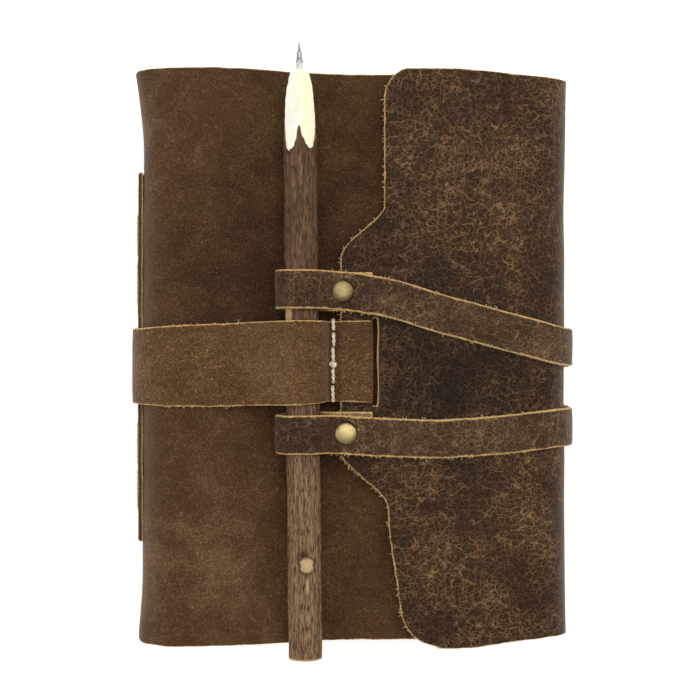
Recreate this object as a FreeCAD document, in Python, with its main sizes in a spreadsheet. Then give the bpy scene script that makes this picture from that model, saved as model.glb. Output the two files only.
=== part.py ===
import FreeCAD, Part
import os
import re
import Sketcher

# A leather-covered journal lying on its back cover. X runs from the spine to the fore-edge, Y up the page,
# Z through the thickness. The origin is under the middle of the closed journal.
# One hide is folded round the sewn sections: front, spine, back, fore-edge wall and flap. A wide strap sewn
# through a slot in the flap goes round the spine and the back, forks into two ties, and each tie ends in a
# riveted loop round a twig pen, which locks the wrap like a bolt.

doc = FreeCAD.newDocument("Journal")
sheet = doc.addObject("Spreadsheet::Sheet", "sizes")

# driving sizes in millimetres, one block for each group of pieces
dimensions = {
    # the hide
    "cover_height": 178.0,
    "cover_middle": -2.15,
    "leather": 2.0,
    "spine_face": 65.9,
    "edge_face": 67.7,
    "front_margin": 4.7,
    "fold_width": 5.0,
    "front_rise": 4.6,
    "rise_end": -40.0,
    "dip_start": -22.0,
    # the sewn sections inside it
    "section_count": 6,
    "section_thick": 3.3,
    "section_gap": 0.04,
    "section_height": 172.0,
    "section_width": 123.8,
    "section_fold": 1.2,
    "spine_room": 0.6,
    "block_room": 0.2,
    # the flap, a straight edge with a tongue that carries the strap
    "flap_edge_top": 9.8,
    "flap_edge_low": 14.7,
    "flap_corner": 9.0,
    "tongue_edge": -3.9,
    "tongue_top": 31.4,
    "tongue_low": -37.3,
    "tongue_corner": 5.0,
    "shoulder_top": 39.7,
    "shoulder_low": -44.0,
    "shoulder_low_edge": 10.2,
    "slot_place": 6.5,
    "slot_room": 0.2,
    # the strap and its two ties
    "strap_leather": 1.8,
    "strap_gap": 0.2,
    "layer_gap": 0.1,
    "strap_width": 25.6,
    "strap_middle": -4.0,
    "stitch_line": -6.1,
    "strap_fold_end": -9.0,
    "fork_start": 0.0,
    "fork_crotch": 28.0,
    "crotch_middle": -6.0,
    "tie_width": 11.7,
    "tie_bend": 26.0,
    "tie_step": 8.0,
    "tie_fold_end": 6.2,
    "upper_tie_pen": 18.4,
    "upper_tie_bend": 11.3,
    "upper_tie_edge": 0.6,
    "lower_tie_pen": -25.7,
    "lower_tie_bend": -27.3,
    "lower_tie_edge": -23.4,
    # the patch on the spine and the thread that sews the sections through it
    "patch_height": 115.0,
    "patch_leather": 1.8,
    "patch_inset": 2.0,
    "thread_radius": 0.4,
    "thread_near": 18.0,
    "thread_length": 28.0,
    "thread_bite": 4.0,
    # the row of stitches across the strap beside the pen
    "stitch_count": 5,
    "stitch_length": 3.7,
    "stitch_pitch": 5.1,
    "stitch_radius": 0.35,
    "stitch_knot": 0.8,
    # the rivet through each tie
    "upper_rivet_place": -3.3,
    "lower_rivet_place": -2.2,
    "rivet_radius": 3.6,
    "rivet_rim": 0.5,
    "rivet_dome": 1.1,
    "rivet_shank": 1.2,
    "rivet_room": 0.05,
    # the twig pen
    "pen_place": -15.6,
    "pen_radius": 5.15,
    "bark_thick": 0.8,
    "pen_low": -94.0,
    "bark_top": 61.0,
    "carve_shoulder": 68.0,
    "carve_middle": 80.0,
    "carve_middle_radius": 3.95,
    "carve_top": 85.3,
    "carve_top_radius": 2.65,
    "knot_place": -64.5,
    "knot_radius": 2.4,
    "knot_proud": 0.7,
    # the refill inside it
    "refill_radius": 1.2,
    "refill_room": 0.05,
    "refill_low": -20.0,
    "tip_length": 8.7,
    "tip_end_radius": 0.45,
    "tip_collar": 2.0,
    "ball_radius": 0.35,
}

# sizes that follow from them
derived = {
    "cover_low": "cover_middle - cover_height / 2",
    "cover_high": "cover_middle + cover_height / 2",
    "strap_face": "edge_face + strap_gap",
    "strap_low": "strap_middle - strap_width / 2",
    "strap_high": "strap_middle + strap_width / 2",
    "half_tie": "tie_width / 2",
    "channel_low": "lower_tie_bend - half_tie - leather",
    "channel_high": "strap_high + leather",
    "channel_under": "strap_leather + layer_gap * 3",
    "wall_low": "channel_under - layer_gap",
    "edge_bend": "edge_face - leather",
    "spine_bend": "leather - spine_face",
    "block_low": "channel_under + leather + block_room",
    "section_step": "section_thick + section_gap",
    "dip_under": "block_low + section_count * section_step + block_room",
    "dip_top": "dip_under + leather",
    "flap_under": "dip_under + front_rise",
    "flap_top": "flap_under + leather",
    "front_end": "edge_bend - front_margin",
    "section_spine": "spine_bend + spine_room",
    "patch_face": "spine_face + patch_leather",
    "strap_under": "flap_top + strap_gap",
    "strap_top": "strap_under + strap_leather",
    "fold_under": "dip_top + (flap_under - dip_top - strap_leather) / 2",
    "loop_inner": "pen_radius + strap_gap",
    "loop_outer": "loop_inner + strap_leather",
    "pen_level": "dip_top + strap_gap + loop_outer",
    "upper_layer": "strap_top + layer_gap",
    "rivet_level": "upper_layer + strap_leather",
    "wood_radius": "pen_radius - bark_thick",
    "refill_bore": "refill_radius + refill_room",
    "tip_high": "carve_top + tip_length",
}

cells = [(name, str(size)) for name, size in dimensions.items()]
cells += [(name, "=" + formula) for name, formula in derived.items()]
for row, (name, content) in enumerate(cells, 1):
    sheet.set("A%d" % row, name)
    sheet.set("B%d" % row, content)
    sheet.setAlias("B%d" % row, name)
doc.recompute()

names = {name for name, content in cells}
nodes = []


def rule(formula):
    """A formula over the sheet's names, as an expression that any object can be bound to."""
    return re.sub(r"[a-z_]+", lambda word: ("sizes." if word[0] in names else "") + word[0], str(formula))


def number(formula):
    return float(sheet.evalExpression(rule(formula)))


def bind(thing, **formulas):
    for name, formula in formulas.items():
        thing.setExpression(name, rule(formula))


# ---- sketches and the features made from them ----

def new_body(label):
    body = doc.addObject("PartDesign::Body", label)
    nodes.append(body)
    return body


def new_sketch(body, plane, offset="0"):
    sketch = body.newObject("Sketcher::SketchObject", body.Label + "_sketch")
    origin_plane = [part for part in body.Origin.OriginFeatures if part.Role == plane][0]
    sketch.AttachmentSupport = [(origin_plane, "")]
    sketch.MapMode = "FlatFace"
    sketch.setExpression("AttachmentOffset.Base.z", rule(offset))
    return sketch


def fix_point(sketch, shape, corner, place):
    """Ties one point of a sketched shape to two formulas."""
    for kind, formula in zip(("DistanceX", "DistanceY"), place):
        index = sketch.addConstraint(Sketcher.Constraint(kind, -1, 1, shape, corner, number(formula)))
        sketch.setExpression("Constraints[%d]" % index, rule(formula))


def draw_outline(sketch, points):
    """A closed outline of straight lines, every corner tied to the sheet."""
    corners = [FreeCAD.Vector(number(across), number(up), 0) for across, up in points]
    first = sketch.GeometryCount
    for start, end in zip(corners, corners[1:] + corners[:1]):
        sketch.addGeometry(Part.LineSegment(start, end), False)
    for index, place in enumerate(points):
        following = (index + 1) % len(points)
        sketch.addConstraint(Sketcher.Constraint("Coincident", first + index, 2, first + following, 1))
        fix_point(sketch, first + index, 1, place)


def draw_circle(sketch, place, radius):
    middle = FreeCAD.Vector(number(place[0]), number(place[1]), 0)
    shape = sketch.addGeometry(Part.Circle(middle, FreeCAD.Vector(0, 0, 1), number(radius)), False)
    fix_point(sketch, shape, 3, place)
    index = sketch.addConstraint(Sketcher.Constraint("Radius", shape, number(radius)))
    sketch.setExpression("Constraints[%d]" % index, rule(radius))


def pad(body, sketch, length, midplane=False):
    feature = body.newObject("PartDesign::Pad", body.Label + "_pad")
    feature.Profile = sketch
    feature.Midplane = midplane
    bind(feature, Length=length)
    doc.recompute()
    return feature


def pocket(body, sketch, length):
    """Cuts away from the sketch's plane in its normal's direction, and checks that something went."""
    before = body.Shape.Volume
    feature = body.newObject("PartDesign::Pocket", body.Label + "_pocket")
    feature.Profile = sketch
    feature.Reversed = True
    bind(feature, Length=length)
    doc.recompute()
    if not feature.Shape.Volume < before - 0.01:
        raise ValueError(feature.Label + " cuts nothing")
    return feature


def side_profile(label, points, middle, width):
    """A piece with one X-Z outline over its whole width along Y."""
    body = new_body(label)
    sketch = new_sketch(body, "XZ_Plane", "0 - (%s)" % middle)
    draw_outline(sketch, points)
    pad(body, sketch, width, midplane=True)
    return body


def plan_profile(label, points, low, thickness):
    """A piece with one X-Y outline over its whole thickness."""
    body = new_body(label)
    sketch = new_sketch(body, "XY_Plane", low)
    draw_outline(sketch, points)
    pad(body, sketch, thickness)
    return body


def end_profile(label, points, low, length):
    """A piece with one Y-Z outline over its whole length along X."""
    body = new_body(label)
    sketch = new_sketch(body, "YZ_Plane", low)
    draw_outline(sketch, points)
    pad(body, sketch, length)
    return body


def round_corners(body, radius, places):
    """Fillets the upright edges that stand on the given X-Y places."""
    spots = [FreeCAD.Vector(number(x), number(y), 0) for x, y in places]
    solid = body.Tip
    picked = []
    for index, edge in enumerate(solid.Shape.Edges, 1):
        middle = edge.CenterOfMass
        upright = abs(edge.Vertexes[0].Z - edge.Vertexes[-1].Z) > 0.5 and edge.Curve.TypeId == "Part::GeomLine"
        if upright and any((middle - FreeCAD.Vector(spot.x, spot.y, middle.z)).Length < 0.01 for spot in spots):
            picked.append("Edge%d" % index)
    if len(picked) != len(places):
        raise ValueError(body.Label + " has no edge on a corner that should be rounded")
    fillet = body.newObject("PartDesign::Fillet", body.Label + "_corners")
    fillet.Base = (solid, picked)
    bind(fillet, Radius=radius)
    doc.recompute()


# ---- primitives, bound to the sheet ----

def block(label, low, size):
    box = doc.addObject("Part::Box", label)
    bind(box, Length=size[0], Width=size[1], Height=size[2])
    for axis, formula in zip("xyz", low):
        box.setExpression("Placement.Base." + axis, rule(formula))
    return box


def rod(label, place, direction, radius, length):
    """A cylinder from a place along a direction."""
    cylinder = doc.addObject("Part::Cylinder", label)
    turn = FreeCAD.Rotation(FreeCAD.Vector(0, 0, 1), FreeCAD.Vector(*direction))
    cylinder.Placement = FreeCAD.Placement(FreeCAD.Vector(), turn)
    bind(cylinder, Radius=radius, Height=length)
    for axis, formula in zip("xyz", place):
        cylinder.setExpression("Placement.Base." + axis, rule(formula))
    return cylinder


def ball(label, place, radius):
    sphere = doc.addObject("Part::Sphere", label)
    bind(sphere, Radius=radius)
    for axis, formula in zip("xyz", place):
        sphere.setExpression("Placement.Base." + axis, rule(formula))
    return sphere


def fused(label, shapes):
    fuse = doc.addObject("Part::MultiFuse", label)
    fuse.Shapes = shapes
    return fuse


# ---- the hide ----

def make_back_cover():
    """Flat on the table, with a shallow channel along X that the strap lies in."""
    end_profile("back_cover", [
        ("cover_low", "0"), ("channel_low - leather", "0"),
        ("channel_low - leather", "channel_under"), ("channel_high + leather", "channel_under"),
        ("channel_high + leather", "0"), ("cover_high", "0"),
        ("cover_high", "leather"), ("channel_high + leather * 2", "leather"),
        ("channel_high + leather * 2", "channel_under + leather"),
        ("channel_low - leather * 2", "channel_under + leather"),
        ("channel_low - leather * 2", "leather"), ("cover_low", "leather"),
    ], "spine_bend", "edge_bend - spine_bend")


def make_walls():
    for label, face in (("spine_cover", "0 - spine_face"), ("fore_edge_wall", "edge_bend")):
        wall = block(label, (face, "cover_low", "wall_low"), ("leather", "cover_height", "flap_under - wall_low"))
        nodes.append(wall)


def make_front_cover():
    """High beside the spine, then a slope, then flat under the flap. A narrow strip bends at the spine."""
    nodes.append(block("front_fold", ("0 - spine_face", "cover_low", "flap_under"),
                       ("fold_width", "cover_height", "leather")))
    side_profile("front_cover", [
        ("fold_width - spine_face", "flap_under"), ("rise_end", "flap_under"),
        ("dip_start", "dip_under"), ("front_end", "dip_under"),
        ("front_end", "dip_top"), ("dip_start", "dip_top"),
        ("rise_end", "flap_top"), ("fold_width - spine_face", "flap_top"),
    ], "cover_middle", "cover_height")


def make_flap():
    """Folds over from the fore-edge, with a tongue whose slot takes the strap's end."""
    top_corner = ("flap_edge_top", "cover_high")
    low_corner = ("flap_edge_low", "cover_low")
    tongue = [("tongue_edge", "tongue_top"), ("tongue_edge", "tongue_low")]
    shoulders = [("flap_edge_top", "shoulder_top"), ("shoulder_low_edge", "shoulder_low")]
    flap = plan_profile("flap", [
        ("edge_bend", "cover_high"), top_corner, shoulders[0], tongue[0],
        tongue[1], shoulders[1], low_corner, ("edge_bend", "cover_low"),
    ], "flap_under", "leather")
    slot_half = "(strap_leather / 2 + slot_room)"
    slot = new_sketch(flap, "XY_Plane", "flap_under")
    draw_outline(slot, [
        ("slot_place - " + slot_half, "strap_low - slot_room"),
        ("slot_place + " + slot_half, "strap_low - slot_room"),
        ("slot_place + " + slot_half, "strap_high + slot_room"),
        ("slot_place - " + slot_half, "strap_high + slot_room"),
    ])
    pocket(flap, slot, "leather")
    round_corners(flap, "flap_corner", [top_corner, low_corner])
    round_corners(flap, "tongue_corner", tongue + shoulders)


# ---- the spine patch, the sections and the thread ----

def make_spine_patch():
    patch = block("spine_patch",
                  ("0 - patch_face", "cover_middle - patch_height / 2", "wall_low + patch_inset"),
                  ("patch_leather", "patch_height", "flap_under - wall_low - patch_inset * 2"))
    nodes.append(patch)


def section_level(index):
    return "block_low + %d * section_step" % index


def make_sections():
    """Folded leaves: a block with a rounded fold at the spine."""
    for index in range(int(dimensions["section_count"])):
        leaves = block("section_%d_leaves" % (index + 1),
                       ("section_spine", "cover_middle - section_height / 2", section_level(index)),
                       ("section_width", "section_height", "section_thick"))
        doc.recompute()
        section = doc.addObject("Part::Fillet", "section_%d" % (index + 1))
        section.Base = leaves
        box = leaves.Shape.BoundBox
        radius = number("section_fold")
        section.Edges = [(index, radius, radius) for index, edge in enumerate(leaves.Shape.Edges, 1)
                         if abs(edge.CenterOfMass.x - box.XMin) < 0.01
                         and abs(edge.CenterOfMass.y - box.Center.y) < 0.01]
        nodes.append(section)


def make_binding_thread():
    """Two long stitches for each section, one on each side of the strap, with legs that go in through the spine."""
    lying = "0 - patch_face - thread_radius"
    shapes = []
    sides = (("strap_high + thread_near - strap_width / 2", "1"), ("strap_low - thread_near + strap_width / 2", "-1"))
    for index in range(int(dimensions["section_count"])):
        level = section_level(index) + " + section_thick / 2"
        for start, way in sides:
            end = "%s + (%s) * thread_length" % (start, way)
            label = "thread_%d_%s" % (index + 1, "up" if way == "1" else "down")
            shapes.append(rod(label, (lying, start, level), (0, int(way), 0), "thread_radius", "thread_length"))
            for place, end_label in ((start, "a"), (end, "b")):
                leg = rod(label + end_label, (lying, place, level), (1, 0, 0), "thread_radius",
                          "patch_leather + leather + spine_room + thread_bite")
                knuckle = ball(label + end_label + "_turn", (lying, place, level), "thread_radius")
                shapes += [leg, knuckle]
    nodes.append(fused("binding_thread", shapes))


# ---- the strap ----

def octagon(angle, radius):
    """A corner of the eight-sided outline that stands clear of a round of this radius about the pen."""
    return ("pen_place + (%s) * cos(%s) / cos(22.5)" % (radius, angle),
            "pen_level + (%s) * sin(%s) / cos(22.5)" % (radius, angle))


def make_strap_front():
    """From the spine over the pen to the slot, down through it, and back under the tongue to the stitches."""
    slot_far = "slot_place + strap_leather / 2"
    slot_near = "slot_place - strap_leather / 2"
    seam_low = "fold_under + strap_leather + layer_gap"
    seam_high = seam_low + " + strap_leather"
    side_profile("strap_front", [
        ("0 - strap_face", "strap_top"),
        ("pen_place - loop_outer * 1.6", "strap_top"),
        octagon(157.5, "loop_outer"), octagon(112.5, "loop_outer"),
        octagon(67.5, "loop_outer"), octagon(22.5, "loop_outer"), octagon(-22.5, "loop_outer"),
        ("stitch_line + strap_leather * 0.6", seam_high),
        ("tongue_edge + strap_gap", "strap_top - layer_gap"),
        (slot_far, "strap_top - layer_gap"), (slot_far, "fold_under"),
        ("strap_fold_end", "fold_under"), ("strap_fold_end", "fold_under + strap_leather"),
        (slot_near, "fold_under + strap_leather"), (slot_near, "flap_top + layer_gap"),
        ("tongue_edge - strap_gap", "flap_top + layer_gap"),
        ("stitch_line + strap_leather * 0.9", seam_low),
        ("stitch_line - strap_leather", seam_low),
        octagon(-22.5, "loop_inner"), octagon(22.5, "loop_inner"),
        octagon(67.5, "loop_inner"), octagon(112.5, "loop_inner"), octagon(157.5, "loop_inner"),
        ("pen_place - loop_outer * 1.45", "strap_under"),
        ("0 - strap_face", "strap_under"),
    ], "strap_middle", "strap_width")


def make_strap_stitches():
    """Five stitches along Y beside the pen, each dipping through both layers, and the knot between two of them."""
    lying = "fold_under + strap_leather * 2 + layer_gap + stitch_radius"
    depth = "strap_leather * 1.6"
    first = "strap_middle - (stitch_count - 1) / 2 * stitch_pitch - stitch_length / 2"
    shapes = []
    for index in range(int(dimensions["stitch_count"])):
        label = "stitch_%d" % (index + 1)
        start = "%s + %d * stitch_pitch" % (first, index)
        shapes.append(rod(label, ("stitch_line", start, lying), (0, 1, 0), "stitch_radius", "stitch_length"))
        for place, end_label in ((start, "a"), (start + " + stitch_length", "b")):
            shapes.append(rod(label + end_label, ("stitch_line", place, lying), (0, 0, -1), "stitch_radius", depth))
            shapes.append(ball(label + end_label + "_turn", ("stitch_line", place, lying), "stitch_radius"))
    knot = rod("stitch_tied_ends", ("stitch_line - stitch_knot", "strap_middle - stitch_pitch / 2",
                                    lying + " - stitch_radius + stitch_knot + layer_gap"),
               (1, 0, 0), "stitch_knot", "stitch_knot * 2")
    nodes.append(fused("strap_stitches", shapes + [knot]))


def make_strap_wrap():
    """Round the spine, across the back to the fork, and up the fore-edge as two prongs."""
    height = "strap_under - strap_leather - layer_gap"
    low = "strap_leather + layer_gap"
    nodes.append(block("strap_spine", ("0 - strap_face - strap_leather", "strap_low", low),
                       ("strap_leather", "strap_width", height)))
    plan_profile("strap_back", [
        ("0 - strap_face", "strap_low"), ("fork_start", "strap_low"),
        ("strap_face", "lower_tie_edge - half_tie"), ("strap_face", "lower_tie_edge + half_tie"),
        ("fork_crotch", "crotch_middle"),
        ("strap_face", "upper_tie_edge - half_tie"), ("strap_face", "upper_tie_edge + half_tie"),
        ("fork_start", "strap_high"), ("0 - strap_face", "strap_high"),
    ], "layer_gap", "strap_leather")
    for side in ("upper", "lower"):
        nodes.append(block("strap_%s_edge" % side, ("strap_face", side + "_tie_edge - half_tie", low),
                           ("strap_leather", "tie_width", height)))


def make_tie(side):
    """A flat run over the flap that ends in a loop round the pen, folded back under itself and riveted."""
    across_pen, across_bend, across_edge = (side + "_tie_" + place for place in ("pen", "bend", "edge"))
    rivet = side + "_rivet_place"
    tie = plan_profile(side + "_tie", [
        ("strap_face", across_edge + " + half_tie"), ("tie_bend", across_bend + " + half_tie"),
        ("tie_step", across_pen + " + half_tie"), ("tie_step", across_pen + " - half_tie"),
        ("tie_bend", across_bend + " - half_tie"), ("strap_face", across_edge + " - half_tie"),
    ], "strap_under", "strap_leather")
    middle = "0 - (%s)" % across_pen
    ring = new_sketch(tie, "XZ_Plane", middle)
    for radius in ("loop_inner", "loop_outer"):
        draw_circle(ring, ("pen_place", "pen_level"), radius)
    upper = new_sketch(tie, "XZ_Plane", middle)
    draw_outline(upper, [
        ("pen_place + loop_inner * cos(30)", "pen_level + loop_inner * sin(30)"),
        ("pen_place + loop_outer * cos(45)", "pen_level + loop_outer * sin(45)"),
        (rivet + " - rivet_radius - layer_gap", "rivet_level"), ("tie_fold_end", "rivet_level"),
        ("tie_step + strap_leather * 2", "strap_top"), ("tie_step + strap_leather * 2", "strap_under"),
        ("tie_step", "strap_under"), ("tie_fold_end - strap_gap", "upper_layer"),
        (rivet + " - rivet_radius - strap_leather / 2", "upper_layer"),
    ])
    under = new_sketch(tie, "XZ_Plane", middle)
    draw_outline(under, [
        ("pen_place + loop_inner * cos(45)", "pen_level - loop_inner * sin(45)"),
        ("pen_place + loop_outer * cos(45)", "pen_level - loop_outer * sin(45)"),
        ("tongue_edge - strap_gap", "strap_under"), ("tie_fold_end - strap_gap * 2", "strap_under"),
        ("tie_fold_end - strap_gap * 2", "strap_top"), (rivet + " - rivet_radius", "strap_top"),
    ])
    for sketch in (ring, upper, under):
        pad(tie, sketch, "tie_width", midplane=True)
    hole = new_sketch(tie, "XY_Plane", "strap_under")
    draw_circle(hole, (rivet, across_pen), "rivet_shank + rivet_room")
    pocket(tie, hole, "rivet_level - strap_under")
    seat = new_sketch(tie, "XY_Plane", "strap_under")
    draw_circle(seat, (rivet, across_pen), "rivet_radius + rivet_room")
    pocket(tie, seat, "rivet_rim + rivet_room")


def make_rivet(side):
    """A domed cap on top, and under the fold a disc whose shank passes through both layers."""
    rivet = side + "_rivet_place"
    across = side + "_tie_pen"
    cap = new_body(side + "_rivet_cap")
    rim = new_sketch(cap, "XY_Plane", "rivet_level + rivet_room")
    draw_circle(rim, (rivet, across), "rivet_radius")
    pad(cap, rim, "rivet_rim")
    dome = new_sketch(cap, "XY_Plane", "rivet_level + rivet_room + rivet_rim")
    draw_circle(dome, (rivet, across), "rivet_radius - rivet_rim / 2")
    rise = pad(cap, dome, "rivet_dome - rivet_rim")
    rise.TaperAngle = -60
    doc.recompute()
    disc = rod(side + "_rivet_disc", (rivet, across, "strap_under"), (0, 0, 1), "rivet_radius", "rivet_rim")
    shank = rod(side + "_rivet_shank", (rivet, across, "strap_under"), (0, 0, 1), "rivet_shank",
                "rivet_level - strap_under")
    nodes.append(fused(side + "_rivet_base", [disc, shank]))


# ---- the twig pen ----

def turned(label, points):
    """A piece turned about the pen's axis: each point is a radius and a place along Y."""
    body = new_body(label)
    sketch = new_sketch(body, "XY_Plane", "pen_level")
    draw_outline(sketch, [("pen_place + (%s)" % radius, along) for radius, along in points])
    axis = sketch.addGeometry(Part.LineSegment(FreeCAD.Vector(0, -10, 0), FreeCAD.Vector(0, 10, 0)), True)
    fix_point(sketch, axis, 1, ("pen_place", "pen_low"))
    fix_point(sketch, axis, 2, ("pen_place", "tip_high"))
    turn = body.newObject("PartDesign::Revolution", label + "_turned")
    turn.Profile = sketch
    turn.ReferenceAxis = (sketch, ["Axis0"])
    turn.Angle = 360
    doc.recompute()
    return body


def make_pen():
    turned("pen_wood", [
        ("0", "pen_low"), ("wood_radius", "pen_low"), ("wood_radius", "bark_top"),
        ("pen_radius - bark_thick / 4", "carve_shoulder"), ("carve_middle_radius", "carve_middle"),
        ("carve_top_radius", "carve_top"), ("refill_bore", "carve_top"),
        ("refill_bore", "refill_low"), ("0", "refill_low"),
    ])
    bark = turned("pen_bark", [
        ("wood_radius", "pen_low"), ("pen_radius", "pen_low"), ("pen_radius", "bark_top"),
        ("wood_radius", "bark_top"),
    ])
    knot = new_sketch(bark, "XY_Plane", "pen_level + wood_radius + bark_thick / 4")
    draw_circle(knot, ("pen_place", "knot_place"), "knot_radius")
    pad(bark, knot, "bark_thick * 3 / 4 + knot_proud")


def make_refill():
    low = ("pen_place", "refill_low", "pen_level")
    nodes.append(rod("refill_tube", low, (0, 1, 0), "refill_radius", "carve_top - tip_collar - refill_low"))
    turned("refill_tip", [
        ("0", "carve_top - tip_collar"), ("refill_radius", "carve_top - tip_collar"),
        ("refill_radius", "carve_top + tip_collar"), ("tip_end_radius * 2", "carve_top + tip_collar * 1.5"),
        ("tip_end_radius", "tip_high - ball_radius * 2"), ("0", "tip_high - ball_radius * 2"),
    ])
    nodes.append(ball("refill_ball", ("pen_place", "tip_high - ball_radius", "pen_level"), "ball_radius"))


def export_nodes():
    doc.recompute()
    failed = [part.Label for part in doc.Objects if {"Invalid", "Error"} & set(part.State)]
    failed += [node.Label for node in nodes if node.Shape.isNull() or not node.Shape.isValid()]
    if failed:
        raise ValueError("failed: " + ", ".join(failed))
    os.makedirs("parts", exist_ok=True)
    for node in nodes:
        node.Shape.exportStep("parts/%s.step" % node.Label)
        print("%-18s %d solids %9.1f mm3" % (node.Label, len(node.Shape.Solids), node.Shape.Volume))


make_back_cover()
make_walls()
make_front_cover()
make_flap()
make_spine_patch()
make_sections()
make_binding_thread()
make_strap_front()
make_strap_stitches()
make_strap_wrap()
for tie_side in ("upper", "lower"):
    make_tie(tie_side)
    make_rivet(tie_side)
make_pen()
make_refill()
export_nodes()
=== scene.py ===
import math
import bmesh
import bpy
import numpy as np
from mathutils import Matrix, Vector, noise


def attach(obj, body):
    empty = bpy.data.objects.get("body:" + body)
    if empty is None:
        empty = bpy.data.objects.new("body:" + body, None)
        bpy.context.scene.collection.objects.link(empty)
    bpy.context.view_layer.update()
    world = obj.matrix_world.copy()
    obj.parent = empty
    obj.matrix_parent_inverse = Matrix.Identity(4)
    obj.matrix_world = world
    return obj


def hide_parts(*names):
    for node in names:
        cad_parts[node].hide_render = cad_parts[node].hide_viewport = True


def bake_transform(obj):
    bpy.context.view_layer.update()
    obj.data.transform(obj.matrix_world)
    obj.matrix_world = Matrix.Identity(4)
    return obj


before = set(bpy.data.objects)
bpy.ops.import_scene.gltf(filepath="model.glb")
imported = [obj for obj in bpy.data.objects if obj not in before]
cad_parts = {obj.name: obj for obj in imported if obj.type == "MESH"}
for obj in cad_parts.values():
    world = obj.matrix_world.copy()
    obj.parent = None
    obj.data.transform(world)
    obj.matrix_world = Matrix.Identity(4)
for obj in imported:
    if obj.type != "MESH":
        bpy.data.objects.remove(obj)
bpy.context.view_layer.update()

mm = 0.001
scene = bpy.context.scene
scene.view_settings.view_transform = "Standard"


# small helpers

def smooth(low, high, value):
    t = np.clip((np.asarray(value, float) - low) / (high - low), 0, 1)
    return t * t * (3 - 2 * t)


def hump(middle, reach, value):  # 1 at the middle, fading to 0 a reach away
    return np.exp(-((np.asarray(value, float) - middle) / reach) ** 2)


def waves(u, v, size, seed):  # gentle uneven swell about `size` across, between -1 and 1
    total = 0
    for k in range(5):
        turn = seed * 1.7 + k * 2.4
        pitch = 2 * math.pi / (size * (0.7 + 0.22 * k))
        total = total + np.sin((u * math.cos(turn) + v * math.sin(turn)) * pitch + seed * 3.1 + k * k)
    return total / 5


def roundedPath(corners, step=0.4):
    # A line in side view through (x, z, radius) corners, each one rounded, and divided into even steps.
    line = [np.array(corners[0][:2], float)]
    for before, corner, after in zip(corners, corners[1:], corners[2:]):
        here = np.array(corner[:2], float)
        back = np.array(before[:2], float) - here
        on = np.array(after[:2], float) - here
        back, on = back / np.linalg.norm(back), on / np.linalg.norm(on)
        half = math.acos(np.clip(back @ on, -1, 1)) / 2
        bisector = (back + on) / np.linalg.norm(back + on)
        reach = corner[2] / math.tan(half)
        middle = here + bisector * corner[2] / math.sin(half)
        start, end = here + back * reach - middle, here + on * reach - middle
        turn = math.atan2(start[0] * end[1] - start[1] * end[0], start @ end)
        count = max(3, int(abs(turn) * corner[2] / step))
        for k in range(count + 1):
            a = turn * k / count
            c, s = math.cos(a), math.sin(a)
            line.append(middle + np.array([start[0] * c - start[1] * s, start[0] * s + start[1] * c]))
    line.append(np.array(corners[-1][:2], float))
    line = np.array(line)
    along = np.r_[0, np.cumsum(np.linalg.norm(np.diff(line, axis=0), axis=1))]
    even = np.linspace(0, along[-1], int(along[-1] / step) + 1)
    place = np.stack([np.interp(even, along, line[:, k]) for k in (0, 1)], 1)
    ahead = np.gradient(place, axis=0)
    ahead /= np.linalg.norm(ahead, axis=1)[:, None]
    return {"along": even, "place": place, "ahead": ahead, "length": along[-1]}


def onPath(path, along):
    # x, z and the outward direction's x, z at these distances along a path.
    x, z, ax, az = (np.interp(along, path["along"], path[part][:, k])
                    for part, k in (("place", 0), ("place", 1), ("ahead", 0), ("ahead", 1)))
    size = np.hypot(ax, az)
    return x, z, az / size, -ax / size


def findAlong(path, x, z):  # how far along the path its nearest place to x, z is
    near = np.hypot(path["place"][:, 0] - x, path["place"][:, 1] - z)
    return path["along"][int(np.argmin(near))]


# shader and geometry trees written as sums

class Sock:
    def __init__(self, graph, link):
        self.graph, self.link = graph, link

    def maths(self, operation, first, second):
        return self.graph.node("ShaderNodeMath", {"operation": operation}, [first, second])

    def __add__(self, other):
        return self.maths("ADD", self, other)

    def __mul__(self, other):
        return self.maths("MULTIPLY", self, other)

    def __sub__(self, other):
        return self.maths("SUBTRACT", self, other)

    def __truediv__(self, other):
        return self.maths("DIVIDE", self, other)

    def __radd__(self, other):
        return self.maths("ADD", self, other)

    def __rmul__(self, other):
        return self.maths("MULTIPLY", self, other)

    def __rsub__(self, other):
        return self.maths("SUBTRACT", other, self)

    def clip(self):
        return self.graph.node("ShaderNodeClamp", {}, [self, 0.0, 1.0])

    def ramp(self, low, high, start=0.0, end=1.0):
        return self.graph.node("ShaderNodeMapRange", {"interpolation_type": "SMOOTHSTEP"},
                               [self, low, high, start, end])


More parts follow.
